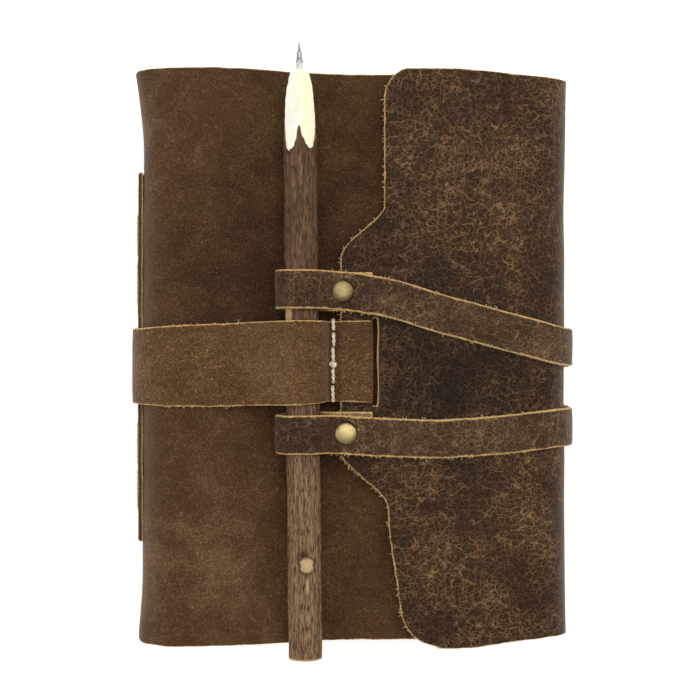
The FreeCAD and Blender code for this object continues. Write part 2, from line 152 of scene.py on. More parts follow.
class Graph:
    def __init__(self, tree):
        self.tree = tree

    def node(self, kind, settings=None, values=(), output=0):
        made = self.tree.nodes.new(kind)
        for name, value in (settings or {}).items():
            if name == "stops":
                self.setStops(made, value)
            else:
                setattr(made, name, value)
        pairs = values.items() if isinstance(values, dict) else enumerate(values)
        for key, value in pairs:
            if isinstance(value, Sock):
                self.tree.links.new(value.link, made.inputs[key])
            elif value is not None:
                made.inputs[key].default_value = value
        return Sock(self, made.outputs[output]) if len(made.outputs) else made

    def setStops(self, made, stops):
        while len(made.color_ramp.elements) < len(stops):
            made.color_ramp.elements.new(0.5)
        for element, (place, colour) in zip(made.color_ramp.elements, stops):
            element.position, element.color = place, (*colour, 1)

    def mix(self, share, first, second):
        return self.node("ShaderNodeMix", {"data_type": "RGBA"}, {0: share, 6: first, 7: second}, 2)

    def split(self, vector):
        parts = self.node("ShaderNodeSeparateXYZ", {}, [vector])
        return [Sock(self, output) for output in parts.link.node.outputs]

    def noise(self, place, scale, detail=3.0, rough=0.55, distortion=0.0):
        return self.node("ShaderNodeTexNoise", {}, {"Vector": place, "Scale": scale, "Detail": detail,
                                                    "Roughness": rough, "Distortion": distortion})

    def cells(self, place, scale, feature="DISTANCE_TO_EDGE", randomness=1.0):
        return self.node("ShaderNodeTexVoronoi", {"feature": feature},
                         {"Vector": place, "Scale": scale, "Randomness": randomness})

    def stretch(self, place, scale, turn=(0, 0, 0)):
        return self.node("ShaderNodeMapping", {}, {"Vector": place, "Rotation": turn, "Scale": scale})

    def attribute(self, name, output):
        return self.node("ShaderNodeAttribute", {"attribute_name": name}, (), output)


def newMaterial(name):
    material = bpy.data.materials.new(name)
    material.use_nodes = True
    material.node_tree.nodes.clear()
    return material, Graph(material.node_tree)


def finishMaterial(graph, colour, roughness, height=None, depth=0.1 * mm, **constants):
    # Ends a material in one Principled shader. Constants are set on the shader's own sockets.
    values = {"Base Color": colour, "Roughness": roughness}
    if height is not None:
        values["Normal"] = graph.node("ShaderNodeBump", {}, {"Strength": 1.0, "Distance": depth,
                                                             "Height": height})
    values.update({name.replace("_", " "): value for name, value in constants.items()})
    shader = graph.node("ShaderNodeBsdfPrincipled", {}, values)
    graph.node("ShaderNodeOutputMaterial", {}, {"Surface": shader})


# leather

coverLook = {
    "dark": (0.030, 0.0120, 0.0038), "body": (0.090, 0.0375, 0.0120), "worn": (0.225, 0.120, 0.052),
    "vein": (0.31, 0.178, 0.080), "veins": 0.55, "grain": 0.85, "wrinkle": 0.0, "raw": 1.0}
flapLook = {
    "dark": (0.0085, 0.0039, 0.0018), "body": (0.023, 0.0098, 0.0038), "worn": (0.056, 0.0265, 0.0108),
    "vein": (0.32, 0.178, 0.078), "veins": 1.05, "grain": 0.40, "wrinkle": 0.0, "raw": 1.1}
strapLook = {
    "dark": (0.036, 0.0145, 0.0042), "body": (0.112, 0.0465, 0.0145), "worn": (0.24, 0.126, 0.050),
    "vein": (0.42, 0.250, 0.102), "veins": 0.85, "grain": 0.95, "wrinkle": 0.8, "raw": 1.2}
tieLook = {
    "dark": (0.015, 0.0070, 0.0032), "body": (0.044, 0.0200, 0.0084), "worn": (0.118, 0.0610, 0.0280),
    "vein": (0.38, 0.225, 0.110), "veins": 1.0, "grain": 0.55, "wrinkle": 0.3, "raw": 1.6}
rawEdge = {"light": (0.86, 0.59, 0.25), "deep": (0.46, 0.245, 0.08), "reach": 0.42}
fleshSide = {"light": (0.30, 0.185, 0.10), "deep": (0.17, 0.10, 0.055)}


def leather(name, look, onto=None, turns=(0, 1)):
    # Waxed leather: grain on the outer face, suede inside and raw tan along every cut. All of it follows
    # the piece's own skin attribute, in millimetres along, across and into the hide. Between the two turns,
    # which are distances along, it changes from its look into the look given as onto.
    material, g = newMaterial(name)
    skin = g.attribute("skin", "Vector")
    if onto:
        share = g.split(skin)[0].ramp(*turns)
        look = {part: g.mix(share, (*value, 1), (*onto[part], 1)) if isinstance(value, tuple)
                else value + share * (onto[part] - value) for part, value in look.items()}
    else:
        look = {part: (*value, 1) if isinstance(value, tuple) else value for part, value in look.items()}
    edge = g.attribute("edge", "Fac")
    tone = g.attribute("tone", "Fac")
    flesh = g.attribute("flesh", "Fac")
    broad = g.noise(skin, 0.028, 2.0, 0.5)
    cloud = g.noise(skin, 0.11, 4.0, 0.6, 0.6)
    mottle = g.noise(skin, 0.9, 3.0, 0.65)
    # tone: 0 is the darkest hide and 1 the lightest, from the hide's own tone and wear and, where the cover
    # and strap spots give it, painted light and shade
    level = (tone + (broad - 0.5) * 0.70 + (cloud - 0.5) * 0.95 + (mottle - 0.5) * 0.55).clip()
    base = g.mix(level.ramp(0.05, 0.5), look["dark"], look["body"])
    base = g.mix(level.ramp(0.5, 1.0), base, look["worn"])
    # a net of fine cracks, clearest where the tone is high, from wear and, on the cover and strap, painted
    # light

    def bent(scale, amount):
        push = g.node("ShaderNodeTexNoise", {}, {"Vector": skin, "Scale": scale, "Detail": 3.0}, 1)
        moved = g.node("ShaderNodeVectorMath", {"operation": "SCALE"}, {0: push, "Scale": amount})
        return g.node("ShaderNodeVectorMath", {"operation": "ADD"}, [skin, moved])
    fine = g.cells(bent(0.45, 1.0), 0.62).ramp(0.0, 0.088, 1.0, 0.0)
    hair = g.cells(bent(0.9, 0.5), 1.35).ramp(0.0, 0.16, 1.0, 0.0)
    drift = bent(0.10, 8.0)
    sloping = g.cells(g.stretch(drift, (0.09, 0.30, 1), (0, 0, 0.95)), 1.0).ramp(0.0, 0.050, 1.0, 0.0)
    rising = g.cells(g.stretch(drift, (0.28, 0.085, 1), (0, 0, 0.25)), 1.0).ramp(0.0, 0.045, 1.0, 0.0)
    crease = (sloping * g.noise(skin, 0.05, 2.0, 0.5).ramp(0.42, 0.52)
              + rising * g.noise(skin, 0.043, 2.0).ramp(0.46, 0.56))
    patches = g.noise(skin, 0.055, 4.0, 0.6, 0.5).ramp(0.36, 0.62)
    uneven = g.noise(skin, 0.4, 3.0, 0.6).ramp(0.30, 0.60)
    net = (fine * 0.70 + hair * 0.36) * (patches * 0.60 + 0.40)
    veins = ((net + crease * 0.82) * (uneven * 0.60 + 0.40)).clip()
    base = g.mix((veins * look["veins"] * (level * 0.85 + 0.30)).clip(), base, look["vein"])
    creases = g.noise(g.stretch(bent(0.5, 1.0), (0.16, 1.3, 0.3)), 0.6, 4.0, 0.6).ramp(0.36, 0.66)
    base = g.mix(creases * 0.5 * look["wrinkle"], base, look["worn"])
    # pores and pebbles
    pebble = g.cells(g.stretch(bent(0.8, 1.3), (1.05, 1.5, 1), (0, 0, 0.5)), 1.0).ramp(0.0, 0.34)
    seams = (1 - pebble) * look["grain"]
    base = g.mix((seams * 0.75).clip(), base, look["dark"])
    tips = g.noise(skin, 1.7, 3.0, 0.7).ramp(0.50, 0.68)
    base = g.mix(tips * 0.42 * look["grain"], base, look["worn"])
    pores = g.noise(skin, 3.4, 2.0, 0.6).ramp(0.60, 0.70)
    base = g.mix(pores * 0.35, base, look["dark"])
    # the suede side and the cuts
    nap = g.noise(skin, 2.6, 4.0, 0.75)
    suede = g.mix(nap, (*fleshSide["deep"], 1), (*fleshSide["light"], 1))
    base = g.mix(flesh, base, suede)
    ragged = edge + (g.noise(skin, 0.22, 2.0, 0.6) - 0.5) * 0.8 + (g.noise(skin, 1.2, 3.0, 0.7) - 0.5) * 0.8
    raw = (ragged / look["raw"]).ramp(rawEdge["reach"] * 0.35, rawEdge["reach"], 1.0, 0.0)
    cut = g.mix(g.noise(skin, 1.9, 3.0, 0.7).ramp(0.3, 0.7), (*rawEdge["deep"], 1), (*rawEdge["light"], 1))
    colour = g.mix(raw, base, cut)
    dull = (raw + flesh).clip()
    roughness = (0.43 + (cloud - 0.5) * 0.22 + veins * 0.12 + level * 0.06) * (1 - dull) + dull * 0.95
    height = (pebble * 0.55 * look["grain"] - veins * 0.30 + mottle * 0.35 - pores * 0.4
              + creases * 0.5 * look["wrinkle"]) * (1 - dull) + nap * dull * 1.4
    finishMaterial(g, colour, roughness, height, 0.30 * mm, Specular_IOR_Level=0.09,
                   Sheen_Weight=0.22, Sheen_Roughness=0.4, Sheen_Tint=(0.9, 0.72, 0.55, 1))
    return material


leathers = {"cover": leather("coverLeather", coverLook), "flap": leather("flapLeather", flapLook),
            "strap": leather("strapLeather", strapLook), "tie": leather("tieLeather", tieLook)}


# plain parts of every piece

def addPiece(name, data):
    piece = bpy.data.objects.new(name, data)
    scene.collection.objects.link(piece)
    return piece


def pointData(mesh, label, values):
    # Keeps one number, or three, at each point of a mesh.
    vector = values.ndim == 2 and values.shape[1] == 3
    made = mesh.attributes.new(label, "FLOAT_VECTOR" if vector else "FLOAT", "POINT")
    made.data.foreach_set("vector" if vector else "value", values.astype(np.float32).ravel())


def allSmooth(mesh):
    mesh.polygons.foreach_set("use_smooth", [True] * len(mesh.polygons))


# a thick sheet over a grid

bevel = {"outer": 0.75, "inner": 0.35, "insets": (0.0, 0.1, 0.28, 0.5, 0.8)}


def lineOfCuts(low, high, step, cutLow, cutHigh):
    # Distances from low to high, close together beside each cut edge.
    insets = np.array(bevel["insets"])
    start = low + insets if cutLow else np.array([low])
    end = high - insets[::-1] if cutHigh else np.array([high])
    inner = np.linspace(start[-1], end[0], max(3, int((end[0] - start[-1]) / step) + 1))
    return np.r_[start[:-1], inner, end[1:]]


def roundOver(distance, radius):  # how far a rounded edge falls at this distance in from the cut
    gap = np.clip(radius - distance, 0, radius)
    return radius - np.sqrt(radius ** 2 - gap ** 2)


def thickSheet(name, outer, normal, thickness, skin, edge, tone, material, joined=(False, False)):
    # A closed sheet. outer and normal are rows x columns x 3 in millimetres, edge is the distance to a cut,
    # and joined says whether its first and last rows carry on into another piece.
    rows, columns = edge.shape
    top = outer - normal * roundOver(edge, min(bevel["outer"], thickness * 0.4))[..., None]
    under = outer - normal * (thickness - roundOver(edge, min(bevel["inner"], thickness * 0.2)))[..., None]
    points = np.concatenate([top.reshape(-1, 3), under.reshape(-1, 3)]) * mm
    index = np.arange(rows * columns).reshape(rows, columns)
    low = index + rows * columns
    quads = [np.stack([index[:-1, :-1], index[1:, :-1], index[1:, 1:], index[:-1, 1:]], -1).reshape(-1, 4),
             np.stack([low[:-1, :-1], low[:-1, 1:], low[1:, 1:], low[1:, :-1]], -1).reshape(-1, 4)]
    rim = np.r_[index[0, :], index[1:, -1], index[-1, -2::-1], index[-2:0:-1, 0]]
    following = np.roll(rim, -1)
    quads.append(np.stack([rim, following, following + rows * columns, rim + rows * columns], -1))
    mesh = bpy.data.meshes.new(name)
    mesh.from_pydata(points.tolist(), [], np.concatenate(quads).tolist())
    flat = np.tile(skin.reshape(-1, 2), (2, 1))
    into = np.repeat([0.0, float(np.max(thickness))], rows * columns)
    pointData(mesh, "skin", np.column_stack([flat, into]))
    pointData(mesh, "edge", np.tile(edge.reshape(-1), 2))
    pointData(mesh, "tone", np.tile(tone.reshape(-1), 2))
    pointData(mesh, "flesh", np.repeat([0.0, 1.0], rows * columns))
    allSmooth(mesh)
    sides = np.zeros(len(mesh.edges) * 2, np.int32)
    mesh.edges.foreach_get("vertices", sides)
    crisp = np.zeros(len(mesh.edges), bool)
    for row, flag in ((0, joined[0]), (-1, joined[1])):
        if flag:
            crisp |= np.isin(sides.reshape(-1, 2), np.r_[index[row], low[row]]).all(1)
    mesh.attributes.new("sharp_edge", "BOOLEAN", "EDGE").data.foreach_set("value", crisp)
    mesh.materials.append(material)
    return turnOutwards(addPiece(name, mesh))


def turnOutwards(piece):
    # Turns the faces of a closed mesh outwards if its volume comes out negative.
    mesh = piece.data
    co = np.zeros(len(mesh.vertices) * 3, np.float32)
    mesh.vertices.foreach_get("co", co)
    co = co.reshape(-1, 3).astype(float)
    mesh.calc_loop_triangles()
    tri = np.zeros(len(mesh.loop_triangles) * 3, np.int32)
    mesh.loop_triangles.foreach_get("vertices", tri)
    a, b, c = (co[tri.reshape(-1, 3)[:, k]] for k in range(3))
    if np.einsum("ij,ij->i", a, np.cross(b, c)).sum() < 0:
        mesh.flip_normals()
    return piece


# the hide: front, spine, back, fore-edge wall and flap in one line round the sections

hide = {"leather": 2.0, "middle": -2.15, "half": 89.0, "grid": 1.15,
        "frontEnd": 60.0, "dip": 26.54, "top": 31.14, "spine": -65.95, "edge": 66.3,
        "spineRound": 12.0, "edgeRound": 11.0, "lowRound": 7.0, "splitLevel": 14.0, "foldPlace": -55.0,
        "farEnd": -12.0, "channel": 2.15}

hidePath = roundedPath([
    (hide["frontEnd"], hide["dip"], 0), (-19, hide["dip"], 26), (-44, hide["top"], 26),
    (hide["spine"], hide["top"], hide["spineRound"]), (hide["spine"], 0, hide["lowRound"] + 1),
    (hide["edge"], 0, hide["lowRound"]), (hide["edge"], hide["top"], hide["edgeRound"]),
    (hide["farEnd"], hide["top"], 0)])
spineSplit = findAlong(hidePath, hide["spine"], hide["splitLevel"])
edgeSplit = findAlong(hidePath, hide["edge"], hide["splitLevel"])
foldSplit = findAlong(hidePath, hide["foldPlace"], hide["top"])


def hideEnds(along):
    # Low and high Y of the hide: cut a little short along the front's free edge and at the fore-edge fold.
    x, z, nx, nz = onPath(hidePath, along)
    top = nz > 0.3
    front = along < spineSplit
    short = np.where(front & top, 1.35 * smooth(-36, 2, x) + 2.4 * smooth(22, 42, x), 0.0)
    short = np.where(~front & top, 2.6 * smooth(30, 63, x) + 0.3, short)
    short = np.where(~top, np.where(front, 0.2, 2.6), short)
    ragged = 0.16 * waves(along, 0, 9, 2) + 0.25 * waves(along, 0, 38, 5)
    hang = np.where(~front & top, 0.9 * hump(28, 22, x), 0.0)
    low = hide["middle"] - hide["half"] + short + ragged - hang
    high = hide["middle"] + hide["half"] - short + ragged * 0.7
    return low, high


def strapChannel(x, y):  # where the strap presses into the back
    low = -18.5 - 12.5 * smooth(0, 66, x)
    high = 10.5 - 1.5 * smooth(0, 66, x)
    return smooth(low - 9, low, y) * (1 - smooth(high, high + 9, y))


# darker and lighter places of the closed journal: x, y, reach, amount. On the cover they are painted light
# and shade, lighter towards the spine and darker near the pen and in the middle
coverLightAndShade = (
    (-52, 66, 28, 0.24), (-34, 26, 32, -0.28), (-48, -58, 34, 0.32), (-24, -30, 22, -0.14),
    (-8, 62, 24, -0.16), (-2, -70, 26, -0.04), (-60, 0, 10, 0.12), (-25, -80, 22, 0.08),
    (-30, 5, 16, -0.10))
flapSpots = (
    (34, 50, 26, 0.10), (24, 62, 18, 0.08), (52, 78, 22, 0.06), (44, 30, 14, 0.18), (22, -4, 22, -0.26),
    (45, -8, 20, -0.22), (30, 22, 12, -0.05), (38, -50, 24, 0.14), (24, -70, 22, 0.12), (58, -70, 20, 0.16),
    (62, 0, 6, 0.10), (14, 40, 12, -0.12), (50, -30, 14, 0.08))


def spots(places, x, y, start):
    level = np.full(np.shape(x), start)
    for px, py, reach, amount in places:
        level = level + amount * np.exp(-((x - px) ** 2 + (y - py) ** 2) / reach ** 2)
    return level


def hideSheet(name, low, high, cutEnd, material, tones, endOf=None):
    # A stretch of the hide from one distance along it to another. endOf(y) gives a shaped end instead.
    y0, y1 = hideEnds(np.array([(low + high) / 2]))
    across = lineOfCuts(float(y0[0]), float(y1[0]), hide["grid"], True, True)
    share = (across - across[0]) / (across[-1] - across[0])
    lowSide = low < high
    length = abs(high - low)
    down = lineOfCuts(0, length, hide["grid"], False, cutEnd)
    ends = np.full(len(across), float(high)) if endOf is None else endOf(across)
    inset = length - down
    near = inset[:, None] * np.ones(len(across))
    reach = np.abs(ends - low)[None, :]
    # the close rows beside the cut keep their steps, and the others share out what is left
    tail = inset[-1 - len(bevel["insets"])] if cutEnd else 0.0
    spaced = (reach - tail) * (down / (down[-1] - tail))[:, None]
    run = np.where(near <= tail + 1e-9, reach - near, spaced)
    along = low + (run if lowSide else -run)
    yLow, yHigh = hideEnds(along)
    y = yLow + (yHigh - yLow) * share[None, :]
    x, z, nx, nz = onPath(hidePath, along)
    edge = np.minimum(y - yLow, yHigh - y)
    if cutEnd:
        slope = np.gradient(ends, across)[None, :]
        edge = np.minimum(edge, np.abs(ends[None, :] - along) / np.sqrt(1 + slope ** 2))
    swell = 0.35 * waves(along, y, 46, 1) + 0.12 * waves(along, y, 15, 4)
    side = smooth(0.5, 1.0, np.abs(nx))
    flare = 2.3 * np.clip((y - 62) / 24, 0, 1) ** 2 + 1.2 * np.clip((-66 - y) / 22, 0, 1) ** 2
    flared = flare * side * np.where(along < (spineSplit + edgeSplit) / 2, 1, 0.3)  # most on the spine
    swell = swell * (1 - smooth(0.6, 1, -nz)) + flared
    pressed = np.where(nz < 0, strapChannel(x, y) * hide["channel"], 0.0) * smooth(0.2, 0.9, -nz)
    outer = np.stack([x + nx * swell, y, z + nz * swell + pressed], -1)
    normal = np.stack([nx, np.zeros_like(nx), nz], -1)
    skin = np.stack([along, y], -1)
    tone = tones(x, y, along)
    return thickSheet(name, outer, normal, hide["leather"], skin, edge, tone, material, (True, not cutEnd))


flapOutline = {"edgeTop": 9.6, "tongue": -3.9, "upperSlope": (43.5, 27.5), "lowerSlope": (-31.0, -49.0),
               "lowerStep": 14.6, "lean": 4.3, "half": 88.6, "topCorner": 9.5, "lowCorner": 11.0}


def flapEnd(y):
    # Where the flap stops along the hide, for each Y: straight above, out to the tongue, back with a lean.
    tongue, middle = flapOutline["tongue"], -12
    step = smooth(*flapOutline["upperSlope"], y) ** 0.8 * (y > middle)
    x = flapOutline["edgeTop"] + (tongue - flapOutline["edgeTop"]) * step
    lean = flapOutline["lean"] * smooth(-48, -88, y)
    lower = tongue + flapOutline["lowerStep"] * smooth(*flapOutline["lowerSlope"], y) + lean
    x = np.where(y <= middle, lower, x)
    for way, radius in ((1, flapOutline["topCorner"]), (-1, flapOutline["lowCorner"])):
        fromEnd = flapOutline["half"] - (y - hide["middle"]) * way
        x = x + roundOver(fromEnd, radius)
    return hidePath["length"] - (x - hide["farEnd"])


def coverTone(x, y, along):
    # painted light and shade: the cover's spots, and a band painting the hide lighter from near the spine
    # round on
    return spots(coverLightAndShade, x, y, 0.40) + 0.16 * smooth(spineSplit - 22, spineSplit - 6, along)


def flapTone(x, y, along):
    return spots(flapSpots, x, y, 0.36)


def makeHide():
    hideSheet("hideFront", foldSplit, 0, True, leathers["cover"], coverTone)
    hideSheet("hideBend", foldSplit, spineSplit, False, leathers["cover"], coverTone)
    turning = leather("turningLeather", coverLook, flapLook, (edgeSplit - 60, edgeSplit - 12))
    hideSheet("hideBack", spineSplit, edgeSplit, False, turning, coverTone)
    tongueEnd = float(flapEnd(np.array([0.0]))[0])
    flap = hideSheet("hideFlap", edgeSplit, tongueEnd, True, leathers["flap"], flapTone, flapEnd)
    cutSlot(flap)


slot = {"right": 7.7, "top": 9.9, "low": -17.2, "reach": 1.8, "depth": (-4, 3), "outline": (
    (4.2, -16.0), (5.7, -16.0), (6.1, -16.9), (6.7, -17.3), (7.25, -17.0), (7.5, -16.3), (7.7, -12.5),
    (7.6, -7.0), (7.35, -3.0), (7.5, 2.0), (7.65, 6.0), (7.45, 9.0), (7.3, 9.7), (6.8, 9.95), (6.2, 9.7),
    (5.8, 8.9), (4.2, 8.9))}


def cutSlot(flap):
    # Cuts the slot through the tongue and marks its right-hand cut as raw leather.
    for vertex, value in zip(flap.data.vertices, flap.data.attributes["edge"].data):
        x, y = vertex.co.x / mm, vertex.co.y / mm
        if 5.5 < x < slot["right"] + slot["reach"] and -18 < y < 10.5 and vertex.co.z > 0.02:
            value.value = min(value.value, max(x - slot["right"], y - slot["top"], slot["low"] - y, 0))
    count = len(slot["outline"])
    corners = [(x * mm, y * mm, (hide["top"] + z) * mm) for z in slot["depth"] for x, y in slot["outline"]]
    sides = [(k, (k + 1) % count, (k + 1) % count + count, k + count) for k in range(count)]
    cutter = bpy.data.meshes.new("slotCutter")
    cutter.from_pydata(corners, [], [tuple(range(count))[::-1], tuple(range(count, 2 * count)), *sides])
    tool = turnOutwards(addPiece("slotCutter", cutter))
    cut = flap.modifiers.new("slot", "BOOLEAN")
    cut.object, cut.operation, cut.solver = tool, "DIFFERENCE", "EXACT"
    bakeModifiers(flap)
    bpy.data.objects.remove(tool)


def bakeModifiers(piece):
    # Turns a piece and its modifiers into a plain mesh.
    graph = bpy.context.evaluated_depsgraph_get()
    graph.update()
    plain = bpy.data.meshes.new_from_object(piece.evaluated_get(graph))
    piece.modifiers.clear()
    old = piece.data
    piece.data = plain
    bpy.data.meshes.remove(old)
    plain.name = piece.name
    return piece


makeHide()
print("hide made")


# the strap and its ties

strap = {"leather": 1.8, "width": 25.6, "middle": -4.0, "grid": 0.75, "level": 32.15, "spine": -68.3,
         "edge": 67.95, "low": 1.0, "splitLevel": 14.0, "backSplit": 0.0, "tieWidth": 11.8}
pen = {"x": -15.55, "lean": -0.0099, "z": 34.0, "low": -94.0}


def bandSheet(name, places, widths, cuts, material, tones, skinAt=(0, 0), thickness=strap["leather"]):
    # A flat band along a line in space. places is n x 3, the middle of the band's thickness; widths is its
    # (low, high) offsets; cuts says which of its start, end, low side and high side are real cuts.
    step = np.linalg.norm(np.diff(places, axis=0), axis=1)
    along = np.r_[0, np.cumsum(step)]
    even = lineOfCuts(0, along[-1], strap["grid"], cuts[0], cuts[1])
    line = np.stack([np.interp(even, along, places[:, k]) for k in range(3)], 1)
    dense = np.gradient(places, axis=0)
    ahead = np.stack([np.interp(even, along, dense[:, k]) for k in range(3)], 1)
    ahead /= np.linalg.norm(ahead, axis=1)[:, None]
    sideways = np.array([0, 1.0, 0]) - ahead * ahead[:, 1:2]
    sideways /= np.linalg.norm(sideways, axis=1)[:, None]
    outward = np.cross(sideways, ahead)
    lowOf, highOf = (np.interp(even, along, np.broadcast_to(side, along.shape)) for side in widths)
    across = lineOfCuts(float(lowOf.mean()), float(highOf.mean()), strap["grid"], cuts[2], cuts[3])
    share = (across - across[0]) / (across[-1] - across[0])
    offset = lowOf[:, None] + (highOf - lowOf)[:, None] * share[None, :]
    edge = np.full(offset.shape, 9.0)
    insets = (even[:, None], (along[-1] - even)[:, None], offset - lowOf[:, None], highOf[:, None] - offset)
    for cut, inset in zip(cuts, insets):
        if cut:
            edge = np.minimum(edge, inset)
    run = even[:, None] + skinAt[0] + 0 * offset
    wobble = 0.12 * waves(run, 0 * offset, 17, 3) + 0.05 * waves(run, 0 * offset, 5, 6)
    swell = 0.10 * waves(run, offset + skinAt[1], 13, 7) + 0.05 * waves(run, offset, 6, 9)
    rounded = 0.14 * (1 - np.clip((2 * share[None, :] - 1) ** 2, 0, 1))
    lift = thickness / 2 + swell + rounded - 0.1
    middle = line[:, None, :] + sideways[:, None, :] * (offset + wobble)[..., None]
    normal = np.broadcast_to(outward[:, None, :], middle.shape)
    outer = middle + normal * lift[..., None]
    skin = np.stack([run, offset + skinAt[1]], -1)
    tone = tones(outer[..., 0], outer[..., 1], run)
    joined = (not cuts[0], not cuts[1])
    return thickSheet(name, outer, normal, thickness, skin, edge, tone, material, joined)


def alongY(path, low, high, y):
    # The stretch of a side-view path between two distances, at the Y that y(x, distance) gives.
    pick = (path["along"] >= low) & (path["along"] <= high)
    x, z = path["place"][pick].T
    return np.stack([x, np.broadcast_to(y(x, path["along"][pick]), x.shape), z], 1)


# its hidden end, its fold through the slot, the hump over the pen, the spine, the back and the fore-edge
strapPath = roundedPath([
    (-9.0, 28.2, 0), (5.3, 28.2, 1.45), (5.3, 32.1, 1.45), (-3.7, 32.1, 1.6), (-5.0, 30.1, 1.6),
    (-8.4, 30.1, 1.6), (-9.35, pen["z"] + 6.25, 6.2), (-19.6, pen["z"] + 6.25, 8),
    (-31, strap["level"], 14),
    (strap["spine"], strap["level"] - 0.1, 12.6), (strap["spine"], strap["low"], 8.5),
    (strap["edge"], strap["low"], 8.0), (strap["edge"], 22, 0)])
# the strap's spots: its own tone with painted light and shade, a painted highlight over its left part and
# painted shade darker towards its fold at the right end
strapToneAndLight = ((-50, 2, 18, 0.14), (-24, -4, 9, 0.10), (-15, -4, 5, 0.02), (1, -4, 8, -0.14),
              (-62, -4, 8, 0.20), (-38, -6, 9, -0.16), (-52, -13, 10, -0.10), (-28, 6, 7, 0.06))
tieSpots = ((-12, 18, 6, -0.16), (20, 14, 12, 0.0), (44, 7, 16, 0.12), (62, 1, 8, 0.18),
            (-12, -25, 6, -0.12), (14, -27, 14, 0.12), (45, -26, 18, 0.08), (-4, 18, 6, -0.08))
# the Y of the strap's two sides at these X over the front
strapLine = {"x": (-69, -66, -56, -45, -30, -16, -6, 5, 70),
             "low": (-16.7, -16.7, -17.3, -17.4, -17.0, -16.6, -15.8, -16.1, -16.8),
             "high": (6.7, 6.8, 7.4, 7.9, 8.6, 9.0, 8.8, 9.1, 8.8)}
# each stitch: the Y of its two holes and how far it leans
strapStitches = ((9.2, 6.3, 0.05), (5.0, 1.5, 0.18), (0.5, -3.4, -0.05), (-5.8, -9.9, -0.02),
                 (-11.2, -15.6, -0.12))


def strapTone(x, y, run):
    # the holes are painted shade standing in for each stitch hole
    holes = [(-6.1, end, 0.8, -0.9) for high, low, shift in strapStitches for end in (high, low)]
    return spots((*strapToneAndLight, *holes), x, y, 0.52)


def tieTone(x, y, run):
    return spots(tieSpots, x, y, 0.40)


def makeStrap():
    spineMark = findAlong(strapPath, strap["spine"], strap["splitLevel"])
    backMark = findAlong(strapPath, strap["backSplit"], strap["low"])
    frontRun = alongY(strapPath, 0, spineMark, lambda x, s: 0)
    roundRun = alongY(strapPath, spineMark, backMark, lambda x, s: 0)
    frontSides = [np.interp(frontRun[:, 0], strapLine["x"], strapLine[edge]) for edge in ("low", "high")]
    half = strap["width"] / 2
    turned = smooth(-60, -30, roundRun[:, 0])
    roundSides = [strapLine[edge][0] + (strap["middle"] + way * half - strapLine[edge][0]) * turned
                  for edge, way in (("low", -1), ("high", 1))]
    leathered = leathers["strap"], strapTone
    bandSheet("strapFront", frontRun, frontSides, (True, False, True, True), *leathered)
    bandSheet("strapRound", roundRun, roundSides, (False, False, True, True), *leathered, (spineMark, 0))
    return backMark


backMark = makeStrap()

# each tie: its Y at the pen, at the fore-edge and at nine places over the flap, and how its loop peeks out
tieRoutes = {
    "upper": {"pen": 18.1, "edge": 0.45, "peek": -0.5,
              "drop": (18.6, 18.3, 17.6, 15.5, 11.3, 8.1, 4.4, 1.0, 0.4)},
    "lower": {"pen": -25.6, "edge": -23.5, "peek": 0.8,
              "drop": (-25.6, -25.6, -26.1, -26.9, -27.3, -26.6, -25.3, -23.8, -23.5)}}
tieShape = {"underEnd": 6.0, "level": 32.15, "upperLevel": 34.05, "split": 14.0, "round": 12.2, "loop": 6.2,
            "spread": (-30, -9, 2, 13, 26, 38, 52, 64, 90)}


def tieMiddle(route, x):
    # Y of a tie's middle over the flap, its bends softened.
    spread, drop = tieShape["spread"], route["drop"]
    coarse = np.interp(x, spread, drop)
    fine = sum(np.interp(x + shift, spread, drop) for shift in (-4, -2, 0, 2, 4)) / 5
    return 0.2 * coarse + 0.8 * fine


def makeTie(side):
    route = tieRoutes[side]
    level, upperLevel, loop = tieShape["level"], tieShape["upperLevel"], tieShape["loop"]
    # up the fore-edge, over the flap and its own end, round the pen, and back under itself
    path = roundedPath([
        (strap["edge"], 8, 0), (strap["edge"], level, tieShape["round"]), (11.6, level, 5),
        (6.4, upperLevel, 5), (-6.2, upperLevel + 0.15, 7), (-11.8, pen["z"] + loop + 0.1, 5.2),
        (-22.9, pen["z"] + loop, 6.6),
        (-22.9, pen["z"] - loop, 6.0), (-11.2, pen["z"] - loop, 5.5), (-6.4, level, 4),
        (tieShape["underEnd"], level, 0)])
    mark = findAlong(path, strap["edge"], tieShape["split"])
    turn = findAlong(path, pen["x"] - 6, pen["z"])

    def middle(x, s):
        lean = route["peek"] * smooth(turn - 4, turn + 18, s)
        return tieMiddle(route, np.where(s > turn, -12.0, x)) + lean

    run = alongY(path, mark, path["length"], middle)
    half = strap["tieWidth"] / 2
    bandSheet(side + "Tie", run, (-half, half), (False, True, True, True), leathers["tie"], tieTone,
              (60, route["pen"] * 3))


def makeFork(side):
    # From the middle of the back, round the lower fore-edge corner, up to half the wall.
    route = tieRoutes[side]
    top = findAlong(strapPath, strap["edge"], tieShape["split"])
    line = alongY(strapPath, backMark, top, lambda x, s: strap["middle"])
    x = line[:, 0]
    opened = smooth(20, 70, x) * np.clip((x - 20) / 48, 0, 1)
    half = strap["tieWidth"] / 2
    wide = strap["width"] / 2
    far = np.clip(x / 68, 0, 1)
    crotch = -2  # where the cut between the two ties starts across the strap
    lowEnd, highEnd = (route["edge"] + way * half - strap["middle"] for way in (-1, 1))
    if side == "upper":
        high = wide + (highEnd - wide) * far
        low = crotch + (lowEnd - crotch) * opened
    else:
        low = -wide + (lowEnd + wide) * far
        high = crotch + (highEnd - crotch) * opened
    bandSheet(side + "Fork", line, (low, high), (False, False, True, True), leathers["strap"], strapTone,
              (backMark, 0))


for side in tieRoutes:
    makeTie(side)
for side in tieRoutes:
    makeFork(side)
print("strap made")


# round pieces

